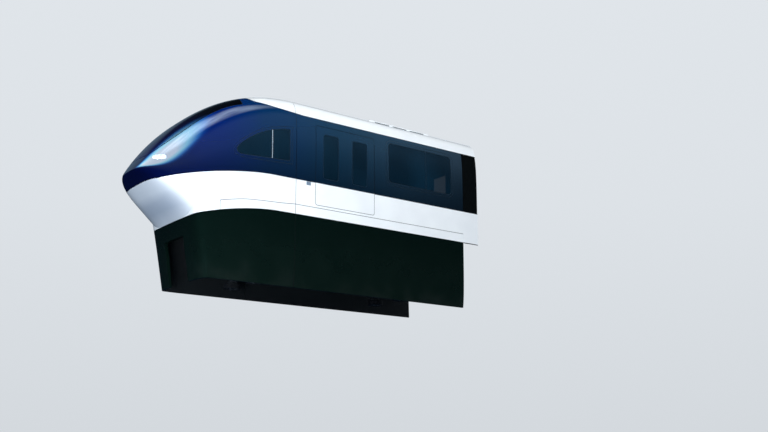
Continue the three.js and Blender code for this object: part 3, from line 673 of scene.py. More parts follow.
FRAME_OFFSET = 0.07
BEAD = 0.016
screen_hole = upright_tool("screen_hole", screen_outline(HALF_JOINT), NOSE_TIP_Z)
screen_fit = upright_tool("screen_fit", screen_outline(-HALF_JOINT), NOSE_TIP_Z)
cab_hole = drawn_tool("cab_hole", cab_window_outline(HALF_JOINT))
cab_fit = drawn_tool("cab_fit", cab_window_outline(HALF_JOINT - BEAD))
cab_frame_out = drawn_tool("cab_frame_out", cab_window_outline(FRAME_OFFSET + HALF_JOINT))
cab_frame_in = drawn_tool("cab_frame_in", cab_window_outline(FRAME_OFFSET - HALF_JOINT))
lamp_holes = [lamp_tool("lamp_hole_%d" % (side > 0), side, 0.001) for side in (-1, 1)]
hatch_out, hatch_in = hatch_tool("hatch_out", HALF_JOINT), hatch_tool("hatch_in", -HALF_JOINT)
apron_slot = block_tool("apron_slot", y=(-0.5, 0.5), z=(-FAR, 0.09))
print("windscreen outline", len(screen_outline(0.0)), "points")

# %% [markdown]
# ## Panels of the nose
# The lower nose, the dark canopy, the windscreen, the apron, the cab windows and the two hatches are cut
# from the same stock. The canopy keeps a fixed frame round each cab window, parted by a thin joint.

# %% Panels of the nose
def fit(piece, slot, *nodes, body="root"):
    """Say what the piece rides on and which solids it stands for. The slot is not used."""
    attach(piece, body)
    if nodes:
        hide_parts(*nodes)
    return piece


def mirrored(piece, name):
    """The same piece on the car's right side."""
    bm = bmesh.new()
    bm.from_mesh(piece.data)
    bmesh.ops.scale(bm, vec=(1, -1, 1), verts=bm.verts)
    bmesh.ops.reverse_faces(bm, faces=bm.faces)
    return as_object(bm, name, piece.data.materials)


def both_sides(left):
    """A left piece and its mirrored twin, each with the name of its side."""
    return ("left", left), ("right", mirrored(left, left.name.replace("left", "right")))


def dress_sides(left, paint, inside, slot, node=None, inset=WALL):
    """Dress and fit a left piece and its twin. The node's name has a gap for the side."""
    for side, piece in both_sides(left):
        fit(dress_skin(piece, paint, inside, inset), slot, *([node % side] if node else []))


nose_white = stock("nose_white", nose_stock, keep=[below_band, above_skirt])
nose_shell = carve("lower_nose_shell", nose_white, remove=[hatch_out])
fit(dress_skin(nose_shell, white_paint, lining), "white_paint", "nose_shell")
canopy_stock = stock("canopy_stock", nose_stock, keep=[above_band, below_roof],
                     remove=[screen_hole, *lamp_holes, cab_hole])
canopy = carve("canopy_panel", canopy_stock, remove=[cab_frame_out])
fit(dress_skin(canopy, band_lacquer, lining), "gloss_band", "nose_canopy")
cab_frames = carve("cab_window_frames", canopy_stock, keep=[cab_frame_in])
fit(dress_skin(cab_frames, band_lacquer, lining), "gloss_band")
windscreen = carve("curved_windscreen", glass_stock, keep=[screen_fit])
fit(dress_skin(windscreen, screen_glass, screen_glass, GLASS), "tinted_glass", "windscreen")
apron = carve("apron_moulding", nose_stock, keep=[below_skirt], remove=[apron_slot])
fit(dress_skin(apron, skirt_enamel, deadening), "skirt_paint", "nose_apron")

hatch = carve("side_hatch_left", nose_white, keep=[hatch_in, left_side])
dress_sides(hatch, white_paint, lining, "white_paint", "nose_hatch_%s")
cab_divider = block_tool("cab_divider", x=(-2.081, -2.059), z=(0, FAR))
cab_pane = carve("cab_pane_left", glass_stock, keep=[cab_fit, left_side], remove=[cab_divider])
dress_sides(cab_pane, tinted_glass, tinted_glass, "tinted_glass", "cab_window_%s", GLASS)
print("canopy", len(canopy.data.polygons), "windscreen", len(windscreen.data.polygons))

# %% [markdown]
# ## Panels of the saloon
# Each side is made once, on the left, and mirrored. The door is one wide plug leaf with two tall panes.
# It is flush with the side, dark above the belt and white below it, so it is cut level at the belt and
# each part takes its own paint.

# %% Panels of the saloon
DOOR = (-0.838, 0.948, FLOOR_Z, FLOOR_Z + 2.05)
DOOR_CORNER = 0.06
DOOR_PANES = {"front": (-0.615, -0.16), "rear": (0.262, 0.717)}
PANE_HEIGHTS = (FLOOR_Z + 0.7, FLOOR_Z + 1.85)
WINDOW = (1.41, 3.545, FLOOR_Z + 0.96, FLOOR_Z + 2.04)
WINDOW_CORNER = 0.11
PANE_JOINT = 0.003
PANE_BEAD = 0.012

doorway = box_tool("doorway", DOOR, DOOR_CORNER, HALF_JOINT)
leaf_fit = box_tool("leaf_fit", DOOR, DOOR_CORNER, -HALF_JOINT)
window_hole = box_tool("window_hole", WINDOW, WINDOW_CORNER, HALF_JOINT)
window_fit = box_tool("window_fit", WINDOW, WINDOW_CORNER, HALF_JOINT - BEAD)
window_frame_out = box_tool("window_frame_out", WINDOW, WINDOW_CORNER, FRAME_OFFSET + HALF_JOINT)
window_frame_in = box_tool("window_frame_in", WINDOW, WINDOW_CORNER, FRAME_OFFSET - HALF_JOINT)
MARKER = (-1.102, -0.975, FLOOR_Z + 0.462, FLOOR_Z + 0.548)
marker_hole = box_tool("marker_hole", MARKER, 0.01, 0.001)
marker_fit = box_tool("marker_fit", MARKER, 0.01, -0.001)
seam_above = block_tool("seam_above", x=(-FAR, BODY_END_X + 0.001), z=(-FAR, SEAM_Z + HALF_JOINT))
seam_below = block_tool("seam_below", x=(-FAR, BODY_END_X - 0.001), z=(-FAR, SEAM_Z - HALF_JOINT))

white_side = stock("white_side", saloon_stock, keep=[below_band, above_skirt])
band_side = stock("band_side", saloon_stock, keep=[above_band, below_roof, ahead_of_gangway],
                  remove=[doorway, window_hole])
# Name, stock, what it keeps, what is cut away, paint, lining, slot and its node's name
SIDE_PANELS = [
    ("lower_side_left", white_side, [], [seam_above, doorway, marker_hole],
     white_paint, lining, "white_paint", "lower_panel_%s"),
    ("sill_cover_left", white_side, [seam_below], [],
     white_paint, lining, "white_paint", "sill_panel_%s"),
    ("band_panel_left", band_side, [], [window_frame_out],
     band_lacquer, lining, "gloss_band", "window_band_%s"),
    ("window_frame_left", band_side, [window_frame_in], [], band_lacquer, lining, "gloss_band", None),
    ("side_skirt_left", saloon_stock, [below_skirt, ahead_of_gangway], [],
     skirt_enamel, deadening, "skirt_paint", "skirt_%s")]
for name, source, kept, cut, paint, inside, slot, node in SIDE_PANELS:
    dress_sides(carve(name, source, kept, cut), paint, inside, slot, node)

window_divider = block_tool("window_divider", x=(2.656, 2.672), z=(0, FAR))
window_pane = carve("window_pane_left", glass_stock, keep=[window_fit, left_side], remove=[window_divider])
dress_sides(window_pane, tinted_glass, tinted_glass, "tinted_glass", "saloon_window_%s", GLASS)

pane_boxes = {place: (x0, x1, *PANE_HEIGHTS) for place, (x0, x1) in DOOR_PANES.items()}
pane_holes = [box_tool("pane_hole_" + place, box, DOOR_CORNER, PANE_JOINT)
              for place, box in pane_boxes.items()]
leaf = carve("plug_door_left", saloon_stock, keep=[leaf_fit], remove=pane_holes)


def paint_leaf(piece):
    """Cut the leaf level at the belt and paint the part below it white."""
    bm = bmesh.new()
    bm.from_mesh(piece.data)
    bmesh.ops.bisect_plane(bm, geom=bm.verts[:] + bm.edges[:] + bm.faces[:], plane_co=(0, 0, BELT_Z),
                           plane_no=(0, 0, 1))
    bm.to_mesh(piece.data)
    bm.free()
    dress_skin(piece, band_lacquer, lining)
    piece.data.materials.append(white_paint)
    for face in piece.data.polygons:
        if face.material_index != 1 and face.center.z < BELT_Z:
            face.material_index = 3


for side, piece in both_sides(leaf):
    paint_leaf(piece)
    fit(piece, "door_paint", "door_leaf_" + side)
for place, box in pane_boxes.items():
    pane_fit = box_tool("pane_fit_" + place, box, DOOR_CORNER, PANE_JOINT - PANE_BEAD)
    pane = carve("door_pane_%s_left" % place, glass_stock, keep=[pane_fit, left_side])
    node = "door_glass_" + place + "_%s"
    dress_sides(pane, tinted_glass, tinted_glass, "tinted_glass", node, GLASS)
print("door", round(DOOR[1] - DOOR[0], 3), "m wide,", round(DOOR[3] - DOOR[2], 3), "m high")

# %% [markdown]
# ## Roof
# The roof is one white moulding from the gangway to the crown of the windscreen. A shallow groove runs
# round it where the cab meets the saloon.

# %% Roof
AT_CAB_JOINT = (CAB_JOINT_X - HALF_JOINT, CAB_JOINT_X + HALF_JOINT)
groove = block_tool("groove", x=AT_CAB_JOINT, z=(0, FAR))
groove_ring = stock("groove_ring", outer_form, keep=[groove], remove=[groove_form])
roof = carve("roof_moulding", shell_stock, keep=[above_roof], remove=[groove_ring])
fit(dress_skin(roof, white_paint, lining), "white_paint", "roof")
print("roof", len(roof.data.polygons))

# %% [markdown]
# ## Weather seals
# Every joint is closed by a rubber strip that lies a few millimetres below the surface, so the joint
# reads as a fine dark line. The strips are cut from a thin layer inside the skin by the joints' own
# shapes, so each fills its gap exactly. The beads round the windows are grey anodised metal instead.

# %% Weather seals and window beads
SEAL_TOP, SEAL_FOOT = 0.004, 0.035
seal_stock = stock("seal_stock", body_form("seal_outside", SEAL_TOP),
                   remove=[body_form("seal_inside", SEAL_FOOT, BEYOND), under_skirt])


def ring_of(name, outline_at, out=HALF_JOINT, width=JOINT):
    """The seal along a closed outline: the outline grown a little, less the outline shrunk a little."""
    grown_tool = drawn_tool(name + "_out", outline_at(out))
    shrunk_tool = drawn_tool(name + "_in", outline_at(out - width))
    return carve(name, seal_stock, keep=[grown_tool], remove=[shrunk_tool])


def join_pieces(name, parts, material):
    """One piece from several parts."""
    bm = bmesh.new()
    for part in parts:
        bm.from_mesh(part.data)
        bpy.data.objects.remove(part)
    bmesh.ops.recalc_face_normals(bm, faces=bm.faces)
    return as_object(bm, name, [material])


seal_parts = [
    carve("seal_band", seal_stock, keep=[strip("strip_band", band_line)], remove=[leaf_fit]),
    carve("seal_skirt", seal_stock, keep=[strip("strip_skirt", skirt_line)]),
    carve("seal_roof", seal_stock, keep=[strip("strip_roof", roof_line, HALF_JOINT)]),
    carve("seal_cab_joint", seal_stock, keep=[block_tool("strip_joint", x=AT_CAB_JOINT)]),
    carve("seal_seam", seal_stock, keep=[block_tool(
        "strip_seam", x=(CAB_JOINT_X, BODY_END_X), z=(SEAM_Z - HALF_JOINT, SEAM_Z + HALF_JOINT))]),
    carve("seal_hatch", seal_stock, keep=[hatch_out, above_skirt, ahead_of_joint], remove=[hatch_in]),
    ring_of("seal_door", box_outline(DOOR, DOOR_CORNER)),
    carve("seal_screen", seal_stock, keep=[screen_hole], remove=[screen_fit])]
fit(join_pieces("weather_seals", seal_parts, seal_rubber), "bellows_rubber")
bead_parts = [
    ring_of("bead_cab_frame", lambda g: cab_window_outline(FRAME_OFFSET + g)),
    ring_of("bead_window_frame", lambda g: box_outline(WINDOW, WINDOW_CORNER)(FRAME_OFFSET + g)),
    ring_of("bead_cab", cab_window_outline, width=BEAD),
    ring_of("bead_window", box_outline(WINDOW, WINDOW_CORNER), width=BEAD),
    carve("bead_divider", seal_stock, keep=[window_divider, window_fit])]
bead_parts += [ring_of("bead_pane_" + place, box_outline(box, DOOR_CORNER), PANE_JOINT, PANE_BEAD)
               for place, box in pane_boxes.items()]
fit(join_pieces("glazing_beads", bead_parts, window_trim), "stainless_steel")
divider_parts = [carve("bead_cab_divider", seal_stock, keep=[cab_divider, cab_fit])]
fit(join_pieces("cab_window_dividers", divider_parts, polished_bar), "stainless_steel")
print("seals", len(seal_parts), "beads", len(bead_parts))

# %% [markdown]
# ## Finishes of the fittings
# Under the car everything is painted steel, machined steel and rubber; inside there is woven cloth, vinyl
# and grained plastic. Each finish is a small tree again, with its pattern sized in millimetres.

# %% Finishes of the fittings
# Satin paint on welded steel: dark grey, greyer where road dust has settled
bogie_paint = mottled("satin_chassis_paint", "#2a2e31", "#3f4447", 180, (0.4, 0.65), 0.3)
# Turned steel of shafts and hubs: bright, with faint tool marks
turned_steel = mottled("turned_steel", "#8b8f92", "#b3b6b8", 12, (0.25, 0.4), 0.02, Metallic=1.0)
# Zinc-plated bolts and nuts: pale bluish metal
zinc_plate = mottled("zinc_plated_steel", "#9aa2a8", "#c0c6ca", 20, (0.3, 0.5), Metallic=1.0)
# Cured tyre rubber: almost black, with a grey bloom and a fine moulded roughness
tyre_rubber = mottled("cured_tyre_rubber", "#111213", "#26282a", 25, (0.7, 0.9), 0.3)
# Moulded bellows rubber: dead black
bellows_rubber = mottled(
    "moulded_bellows_rubber", "#07090a", "#0e1112", 60, (0.8, 0.95), 0.2, Specular_IOR_Level=0.04)
# Brushed stainless tube: grain of about 1 mm, drawn at 4 mm so that it shows
brushed_stainless = mottled(
    "brushed_stainless_tube", "#a9adb0", "#c6c9cb", 4, (0.22, 0.38), 0.01, Metallic=1.0)
# Vinyl floor covering: speckled grey, with chips of about 6 mm
vinyl_floor = mottled("speckled_vinyl", "#5a6168", "#7d848a", 6, (0.45, 0.6), 0.05)
# Grained charcoal moulding of the driver's desk
desk_plastic = mottled("grained_abs", "#1c1e20", "#2a2c2f", 3, (0.45, 0.6), 0.15)
# Black powder-coated grilles and housings
black_coat = mottled("black_powder_coat", "#0d0e0f", "#1a1c1d", 8, (0.45, 0.6), 0.08)
# Clear moulded lens with a faint glow from the diodes, and a chromed bowl behind it
lamp_lens = mottled("clear_polycarbonate_lens", "#cfe2f2", "#e8f4ff", 60, (0.04, 0.08), Alpha=0.35,
                    Emission_Color=linear("#cfeaff"), Emission_Strength=1.1)
chrome_bowl = mottled("chromed_reflector", "#d5dadf", "#f0f3f6", 30, (0.05, 0.12), Metallic=1.0)
# Laminate on the end wall and the cab partition, satin; its dark slate colour is painted shade, so that they
# read dim behind the tinted glass
slate_laminate = mottled("slate_laminate", "#2b333b", "#36404a", 400, (0.4, 0.55), 0.02)
# Frosted grey lens of the marker lamp
marker_lens = mottled("frosted_marker_lens", "#5f7080", "#8496a6", 10, (0.25, 0.4), 0.1)

# White light-emitting diodes, lit: a cold bright light, a little uneven over each chip
lit_lamp, tree, shader, place = new_material("lit_white_diode", Roughness=0.3, Emission_Strength=7.0)
cell = add(tree, "TexNoise", {"Vector": place, "Scale": 80.0, "Detail": 0.0})
glow = add(tree, "ValToRGB", {"Fac": cell}, stops=[(0.3, "#bfe6ff"), (0.6, "#ffffff")])
feed(shader, "Emission Color", glow)
feed(shader, "Base Color", glow)

# Woven moquette: dense wool pile over 3 mm ribs, drawn at 8 mm so that they show; sheen at the edges
moquette, tree, shader, place = new_material(
    "woven_blue_moquette", Roughness=0.9, Sheen_Weight=0.5, Sheen_Roughness=0.4)
rib = add(tree, "TexWave", {"Vector": place, "Scale": 40.0, "Distortion": 0.6, "Detail": 1.0},
          bands_direction="X")
pile = add(tree, "TexNoise", {"Vector": place, "Scale": 260.0, "Detail": 3.0})
weave = add(tree, "Math", {0: rib.outputs["Fac"], 1: pile}, operation="MULTIPLY")
feed(shader, "Base Color", add(tree, "ValToRGB", {"Fac": weave}, stops=[
    (0.0, "#132c4c"), (0.25, "#1e4270"), (0.6, "#3c6aa0")]))
feed(shader, "Normal", add(tree, "Bump", {"Height": weave, "Strength": 0.4, "Distance": 0.0012}))
print("materials so far", len(bpy.data.materials))

# %% [markdown]
# ## Helpers for turned and welded pieces
# Wheels, springs and bolts are turned shapes: half of the section is drawn and spun about its axis.
# Frames are welded boxes with their edges taken off. Both are gathered into one piece with a material
# number for each part, and only edges sharper than 25 degrees stay sharp.

# %% Turning, boxes and gathering
SHARP = math.radians(25)


def turned(profile, closed=False, steps=48):
    """Half a section, as (radius, height) points, spun about the Z axis."""
    bm = bmesh.new()
    ring = [bm.verts.new((r, 0, h)) for r, h in profile]
    edges = [bm.edges.new(pair) for pair in zip(ring, ring[1:])]
    if closed:
        edges.append(bm.edges.new((ring[-1], ring[0])))
    bmesh.ops.spin(bm, geom=ring + edges, cent=(0, 0, 0), axis=(0, 0, 1), dvec=(0, 0, 0),
                   angle=2 * math.pi, steps=steps, use_merge=True)
    bmesh.ops.remove_doubles(bm, verts=bm.verts, dist=MERGE)
    bmesh.ops.recalc_face_normals(bm, faces=bm.faces)
    return bm


def bevelled(bm, edges, size, segments):
    bmesh.ops.bevel(bm, geom=edges, offset=size, affect="EDGES", segments=segments, profile=0.5, material=-1)
    return bm


def boxed(x0, x1, y0, y1, z0, z1, edge=0.006, segments=2):
    """A box with its edges taken off."""
    bm = bmesh.new()
    bmesh.ops.create_cube(bm, size=1)
    bmesh.ops.scale(bm, vec=(abs(x1 - x0), abs(y1 - y0), abs(z1 - z0)), verts=bm.verts)
    bmesh.ops.translate(bm, vec=((x0 + x1) / 2, (y0 + y1) / 2, (z0 + z1) / 2), verts=bm.verts)
    return bevelled(bm, bm.edges, edge, segments)


def pulled(outline, low, high, edge=0.006, segments=2):
    """A side-view outline pulled across from y low to high, with its edges taken off."""
    bm = prism([(x, low, z) for x, z in outline], (0, high - low, 0))
    if edge:
        bevelled(bm, [e for e in bm.edges if e.calc_face_angle(0) > SHARP], edge, segments)
    return bm


def moved(x, y, z, tilt=None):
    """A place in the car; tilt is a rotation (angle in degrees, axis)."""
    turn = Matrix.Rotation(math.radians(tilt[0]), 4, tilt[1]) if tilt else Matrix.Identity(4)
    return Matrix.Translation((x, y, z)) @ turn


ACROSS = (90, "X")


def soften(bm):
    """Shade all faces smooth and keep the sharp edges sharp."""
    for face in bm.faces:
        face.smooth = True
    for edge in bm.edges:
        edge.smooth = edge.calc_face_angle(0) < SHARP


def gather(name, parts, materials):
    """One piece from shapes, or from (shape, place, material number) where a part has them."""
    parts = [part if isinstance(part, tuple) else (part, None, 0) for part in parts]
    whole = bmesh.new()
    for shape, matrix, number in parts:
        mesh = bpy.data.meshes.new("part")
        shape.to_mesh(mesh)
        if matrix is not None:
            mesh.transform(matrix)
        first = len(whole.faces)
        whole.from_mesh(mesh)
        whole.faces.ensure_lookup_table()
        for face in whole.faces[first:]:
            face.material_index = number
        bpy.data.meshes.remove(mesh)
    for shape in {id(shape): shape for shape, matrix, number in parts}.values():
        shape.free()
    soften(whole)
    return as_object(whole, name, materials)


def ring_places(count, radius, first=0.0):
    """Places evenly round a circle."""
    angles = [2 * math.pi * (k + first) / count for k in range(count)]
    return [(radius * math.cos(angle), radius * math.sin(angle)) for angle in angles]


def bolt_head(size):
    """A hexagon head on a washer, about 30 faces."""
    head = turned([(0, size * 0.7), (size * 0.95, size * 0.7), (size, size * 0.6), (size, 0.002)], steps=6)
    washer = turned([(size * 1.3, 0.002), (size * 1.3, 0)], steps=12)
    mesh = bpy.data.meshes.new("washer")
    washer.to_mesh(mesh)
    washer.free()
    head.from_mesh(mesh)
    bpy.data.meshes.remove(mesh)
    return head


# %% [markdown]
# ## Load wheels
# Each bogie rests on one axle with two large rubber tyres side by side in the middle. The tyre is a
# spun section with three water grooves and a rounded shoulder. The rim is a pressed disc with ten nuts.

# %% Load wheels
BOGIES = {"front": -2.1, "rear": 2.3}
LOAD_Z = 0.43
TYRE_Y = 0.165


def tyre_profile(radius, bore, half, shoulder, grooves, groove_width, groove_depth):
    """A tyre's section: side walls that bulge a little, round shoulders and water grooves."""
    outer = [(bore, -half * 0.88), (bore + (radius - bore) * 0.25, -half * 0.97),
             (radius - shoulder * 1.4, -half)]
    for k in range(1, 5):
        turn = math.pi / 2 * k / 4
        drawn_in = shoulder * (1 - math.cos(turn)) * 0.8
        outer.append((radius - shoulder + shoulder * math.sin(turn), -half + drawn_in))
    for k in range(grooves):
        middle = (k + 1) / (grooves + 1) * 2 - 1
        at = middle * (half - shoulder * 0.6)
        outer += [(radius, at - groove_width / 2), (radius - groove_depth, at - groove_width / 2 + 0.001),
                  (radius - groove_depth, at + groove_width / 2 - 0.001), (radius, at + groove_width / 2)]
    mirrored_part = [(r, -h) for r, h in reversed(outer[:7])]
    return outer + mirrored_part


for place, centre in BOGIES.items():
    for side, y in (("left", -TYRE_Y), ("right", TYRE_Y)):
        section = tyre_profile(0.43, 0.2504, 0.124, 0.035, 3, 0.012, 0.011)
        tyre = gather("%s_tyre_%s" % (place, side), [
            (turned(section, closed=True, steps=96), moved(centre, y, LOAD_Z, ACROSS), 0)], [tyre_rubber])
        fit(tyre, "tyre_rubber", "%s_load_tyre_%s" % (place, side), body=place + "_wheelset")
    shaft = [(0, -0.56), (0.04, -0.56), (0.048, -0.55), (0.048, -0.42), (0.055, -0.41), (0.055, -0.36),
             (0.055, 0.36), (0.055, 0.41), (0.048, 0.42), (0.048, 0.55), (0.04, 0.56), (0, 0.56)]
    parts = [(turned(shaft), moved(centre, 0, LOAD_Z, ACROSS), 1)]
    for y in (-TYRE_Y, TYRE_Y):
        rim = [(0.25, -0.11), (0.25, 0.11), (0.235, 0.11), (0.225, 0.06), (0.15, 0.035), (0.1, 0.05),
               (0.055, 0.05), (0.055, -0.05), (0.1, -0.05), (0.15, -0.035), (0.225, -0.06), (0.235, -0.11)]
        parts.append((turned(rim, closed=True, steps=64), moved(centre, y, LOAD_Z, ACROSS), 0))
        outward = 1 if y > 0 else -1
        for k in range(10):
            spoke = moved(centre, y, LOAD_Z) @ Matrix.Rotation(2 * math.pi * k / 10, 4, "Y")
            parts.append((bolt_head(0.011), spoke @ moved(0.13, outward * 0.04, 0, (-90 * outward, "X")), 2))
    axle = gather(place + "_axle_and_rims", parts, [bogie_paint, turned_steel, zinc_plate])
    fit(axle, "bogie_paint", place + "_load_axle", body=place + "_wheelset")
    print(place, "axle", len(axle.data.polygons), "faces")

# %% [markdown]
# ## Guide and stabiliser wheels
# Small wheels on upright spindles steer and steady the car. Each has a solid rubber tyre with one
# shallow groove and a painted disc, bolted to its hub from both sides.

# %% Guide and stabiliser wheels
GUIDE = {"radius": 0.2, "half": 0.07, "bore": 0.0358, "y": 0.55, "x": 0.8, "z": -0.23, "low_z": -0.76}
# Kind of wheel, start of its node's name, distance from the bogie's middle and height
WHEELS = [("guide_fore", "guide_wheel_fore", -GUIDE["x"], GUIDE["z"]),
          ("guide_aft", "guide_wheel_aft", GUIDE["x"], GUIDE["z"]),
          ("stabiliser", "stabiliser_wheel", 0.0, GUIDE["low_z"])]
HUB_BOLT_RADIUS, HUB_FACE = 0.055, 0.045
tread = tyre_profile(GUIDE["radius"], 0.15, GUIDE["half"] - 0.001, 0.02, 1, 0.008, 0.006)
half_disc = [(0.15, 0.05), (0.14, 0.05), (0.13, 0.02), (0.08, 0.012), (0.07, HUB_FACE),
             (GUIDE["bore"], HUB_FACE)]
disc = [(0.15, -0.05)] + half_disc + [(r, -h) for r, h in reversed(half_disc[1:])]
for place, centre in BOGIES.items():
    for kind, node, dx, z in WHEELS:
        for side, y in (("left", -GUIDE["y"]), ("right", GUIDE["y"])):
            at = moved(centre + dx, y, z)
            parts = [(turned(tread, closed=True, steps=72), at, 0), (turned(disc, closed=True), at, 1)]
            for x, up in ring_places(6, HUB_BOLT_RADIUS):
                for face, turn in ((HUB_FACE, 0), (-HUB_FACE, 180)):
                    parts.append((bolt_head(0.008), at @ moved(x, up, face, (turn, "X")), 2))
            wheel = gather("%s_%s_roller_%s" % (place, kind, side), parts,
                           [tyre_rubber, bogie_paint, zinc_plate])
            body = "%s_%s_%s" % (place, kind, side)
            fit(wheel, "tyre_rubber", "%s_%s_%s" % (place, node, side), body=body)
print("small wheel", len(wheel.data.polygons), "faces")

# %% [markdown]
# ## Bogie frames
# The frame is a welded steel portal, open below: two side beams, two end beams, an arch
# with the pivot pad, brackets for the air springs, and six legs that reach down to the guide wheels.
# The air springs are two-fold rubber bellows between steel plates.

# %% Bogie frames
SPRING = {"y": 0.68, "radius": 0.165, "low": 0.52, "high": 0.939}
# The box beams: their inner and outer side, underside, top and end, from the bogie's middle
BEAM_IN, BEAM_OUT, BEAM_LOW, BEAM_HIGH, BEAM_END = 0.4, 0.52, 0.34, 0.54, 0.95
ARCH_HALF, ARCH_TOP = 0.13, 0.925


def air_spring():
    """Two folds of rubber between a foot plate and a cap."""
    low, high, r = SPRING["low"] + 0.02, SPRING["high"] - 0.02, SPRING["radius"]
    fold = (high - low) / 2
    bulge = []
    for k in range(25):
        share = k / 24
        bulge.append((r - 0.035 + 0.035 * abs(math.sin(2 * math.pi * share)) ** 0.6, low + 2 * fold * share))
    return turned([(r - 0.04, low)] + bulge + [(r - 0.04, high)], steps=56)


def bogie_parts(x):
    parts = []

    def weld(*box, edge=0.008):
        parts.append(boxed(*box, edge=edge))

    for end in (-1, 1):
        x0, x1 = sorted((x + end * BEAM_END, x + end * 0.82))
        weld(x0, x1, -BEAM_OUT, BEAM_OUT, BEAM_LOW, BEAM_HIGH)
    weld(x - ARCH_HALF, x + ARCH_HALF, -BEAM_OUT, BEAM_OUT, 0.885, ARCH_TOP)
    pad = [(0.0508, 0.915), (0.2, 0.915), (0.2, 0.94), (0.195, 0.945), (0.0508, 0.945)]
    parts.append((turned(pad, closed=True), moved(x, 0, 0), 1))
    for side in (-1, 1):
        def span(a, b):
            return sorted((side * a, side * b))

        for end in (-1, 1):
            weld(*sorted((x, x + end * BEAM_END)), *span(BEAM_IN, BEAM_OUT), BEAM_LOW, BEAM_HIGH)
            # Cover plates on top of the box beam, as welded on
            weld(*sorted((x + end * 0.94, x + end * 0.16)), *span(0.392, 0.528), 0.532, 0.546, edge=0.003)
        weld(x - ARCH_HALF, x + ARCH_HALF, *span(BEAM_IN, BEAM_OUT), 0.52, ARCH_TOP)
        weld(x - 0.18, x + 0.18, *span(0.5, 0.84), 0.46, 0.52)
        for end in (-1, 1):
            gusset = [(x + end * 0.13, 0.54), (x + end * 0.27, 0.54), (x + end * 0.13, 0.78)]
            if end < 0:
                gusset.reverse()
            parts.append(pulled(gusset, *span(0.45, 0.47), edge=0.003, segments=1))
            stiff = [(x + end * 0.15, 0.46), (x + end * 0.165, 0.46), (x + end * 0.165, 0.36),
                     (x + end * 0.15, 0.36)]
            parts.append(pulled(stiff, *span(0.51, 0.7), edge=0))
        parts.append((air_spring(), moved(x, side * SPRING["y"], 0), 2))
        for z in (SPRING["low"], SPRING["high"] - 0.025):
            plate = [(0, z), (0.15, z), (0.155, z + 0.004), (0.155, z + 0.021), (0.15, z + 0.025),
                     (0, z + 0.025)]
            parts.append((turned(plate), moved(x, side * SPRING["y"], 0), 1))
            if z == SPRING["low"]:
                for dx, dy in ring_places(6, 0.14, 0.5):
                    parts.append((bolt_head(0.009), moved(x + dx, side * SPRING["y"] + dy, z + 0.02), 3))
        legs = [(x - GUIDE["x"], GUIDE["z"]), (x + GUIDE["x"], GUIDE["z"]), (x, GUIDE["low_z"])]
        for leg_x, wheel_z in legs:
            foot = wheel_z + GUIDE["half"] + 0.015
            weld(leg_x - 0.08, leg_x + 0.08, *span(0.48, 0.62), foot + 0.02, 0.54)
            weld(leg_x - 0.095, leg_x + 0.095, *span(0.47, 0.64), foot, foot + 0.025, edge=0.004)
            spindle = [(0, wheel_z - 0.07), (0.03, wheel_z - 0.07), (0.035, wheel_z - 0.065),
                       (0.035, foot + 0.01)]
            parts.append((turned(spindle), moved(leg_x, side * GUIDE["y"], 0), 1))
            for dx in (-0.08, 0.08):
                for dy in (0.485, 0.625):
                    parts.append((bolt_head(0.008), moved(leg_x + dx, side * dy, foot + 0.025), 3))
        # Bearing box of the load axle
        bearing = [(0.0558, -0.055), (0.105, -0.055), (0.112, -0.045), (0.112, 0.045), (0.105, 0.055),
                   (0.0558, 0.055)]
        parts.append((turned(bearing, closed=True), moved(x, side * 0.475, LOAD_Z, ACROSS), 1))
    return parts


for place, centre in BOGIES.items():
    frame_piece = gather(place + "_bogie_weldment", bogie_parts(centre),
                         [bogie_paint, turned_steel, bellows_rubber, zinc_plate])
    fit(frame_piece, "bogie_paint", place + "_bogie_frame", body=place + "_bogie")
    print(place, "bogie", len(frame_piece.data.polygons), "faces")

# %% [markdown]
# ## Underframe and drawbar
# The saloon stands on a welded ladder frame. The drawbar hangs from the rear end on a bracket and
# ends in a round flange with eight bolts.

# %% Underframe and drawbar
UNDER_LOW, UNDER_HIGH = 0.9453, 1.0896
ladder = []
for side in (-1, 1):
    y0, y1 = sorted((side * 0.9, side * 1.06))
    ladder.append(boxed(-3.7, BODY_END_X - 0.0004, y0, y1, UNDER_LOW, UNDER_HIGH, edge=0.01))
for x in (-3.62, -1.0, 0.0, 1.0, 3.8):
    ladder.append(boxed(x - 0.08, x + 0.08, -1.05, 1.05, UNDER_LOW + 0.002, UNDER_HIGH, edge=0.01))
for x in BOGIES.values():
    ladder.append(boxed(x - 0.26, x + 0.26, -1.055, 1.055, UNDER_LOW, UNDER_HIGH, edge=0.012))
    pin = [(0, UNDER_LOW - 0.05), (0.046, UNDER_LOW - 0.05), (0.05, UNDER_LOW - 0.046),
           (0.05, UNDER_LOW + 0.004)]
    ladder.append((turned(pin), moved(x, 0, 0), 1))
fit(gather("ladder_underframe", ladder, [bogie_paint, turned_steel]), "bogie_paint", "underframe")

FLANGE_X, BAR_Z = 4.4, 0.75
flange = [(0, 4.4), (0.125, 4.4), (0.13, 4.405), (0.13, 4.4995), (0, 4.4995)]
bar = [boxed(3.7, 3.86, -0.16, 0.16, 0.64, UNDER_LOW - 0.0004, edge=0.01),
       boxed(3.8, 4.42, -0.06, 0.06, 0.69, 0.81, edge=0.015, segments=3)]
disc = turned([(r, x - FLANGE_X) for r, x in flange], steps=56)
bar.append((disc, moved(FLANGE_X, 0, BAR_Z, (90, "Y")), 1))
for dy, dz in ring_places(8, 0.1):
    bar.append((bolt_head(0.01), moved(FLANGE_X, dy, BAR_Z + dz, (-90, "Y")), 2))
fit(gather("bolted_drawbar", bar, [bogie_paint, turned_steel, zinc_plate]), "bogie_paint", "drawbar")
print("ladder", len(ladder), "parts, drawbar", len(bar), "parts")

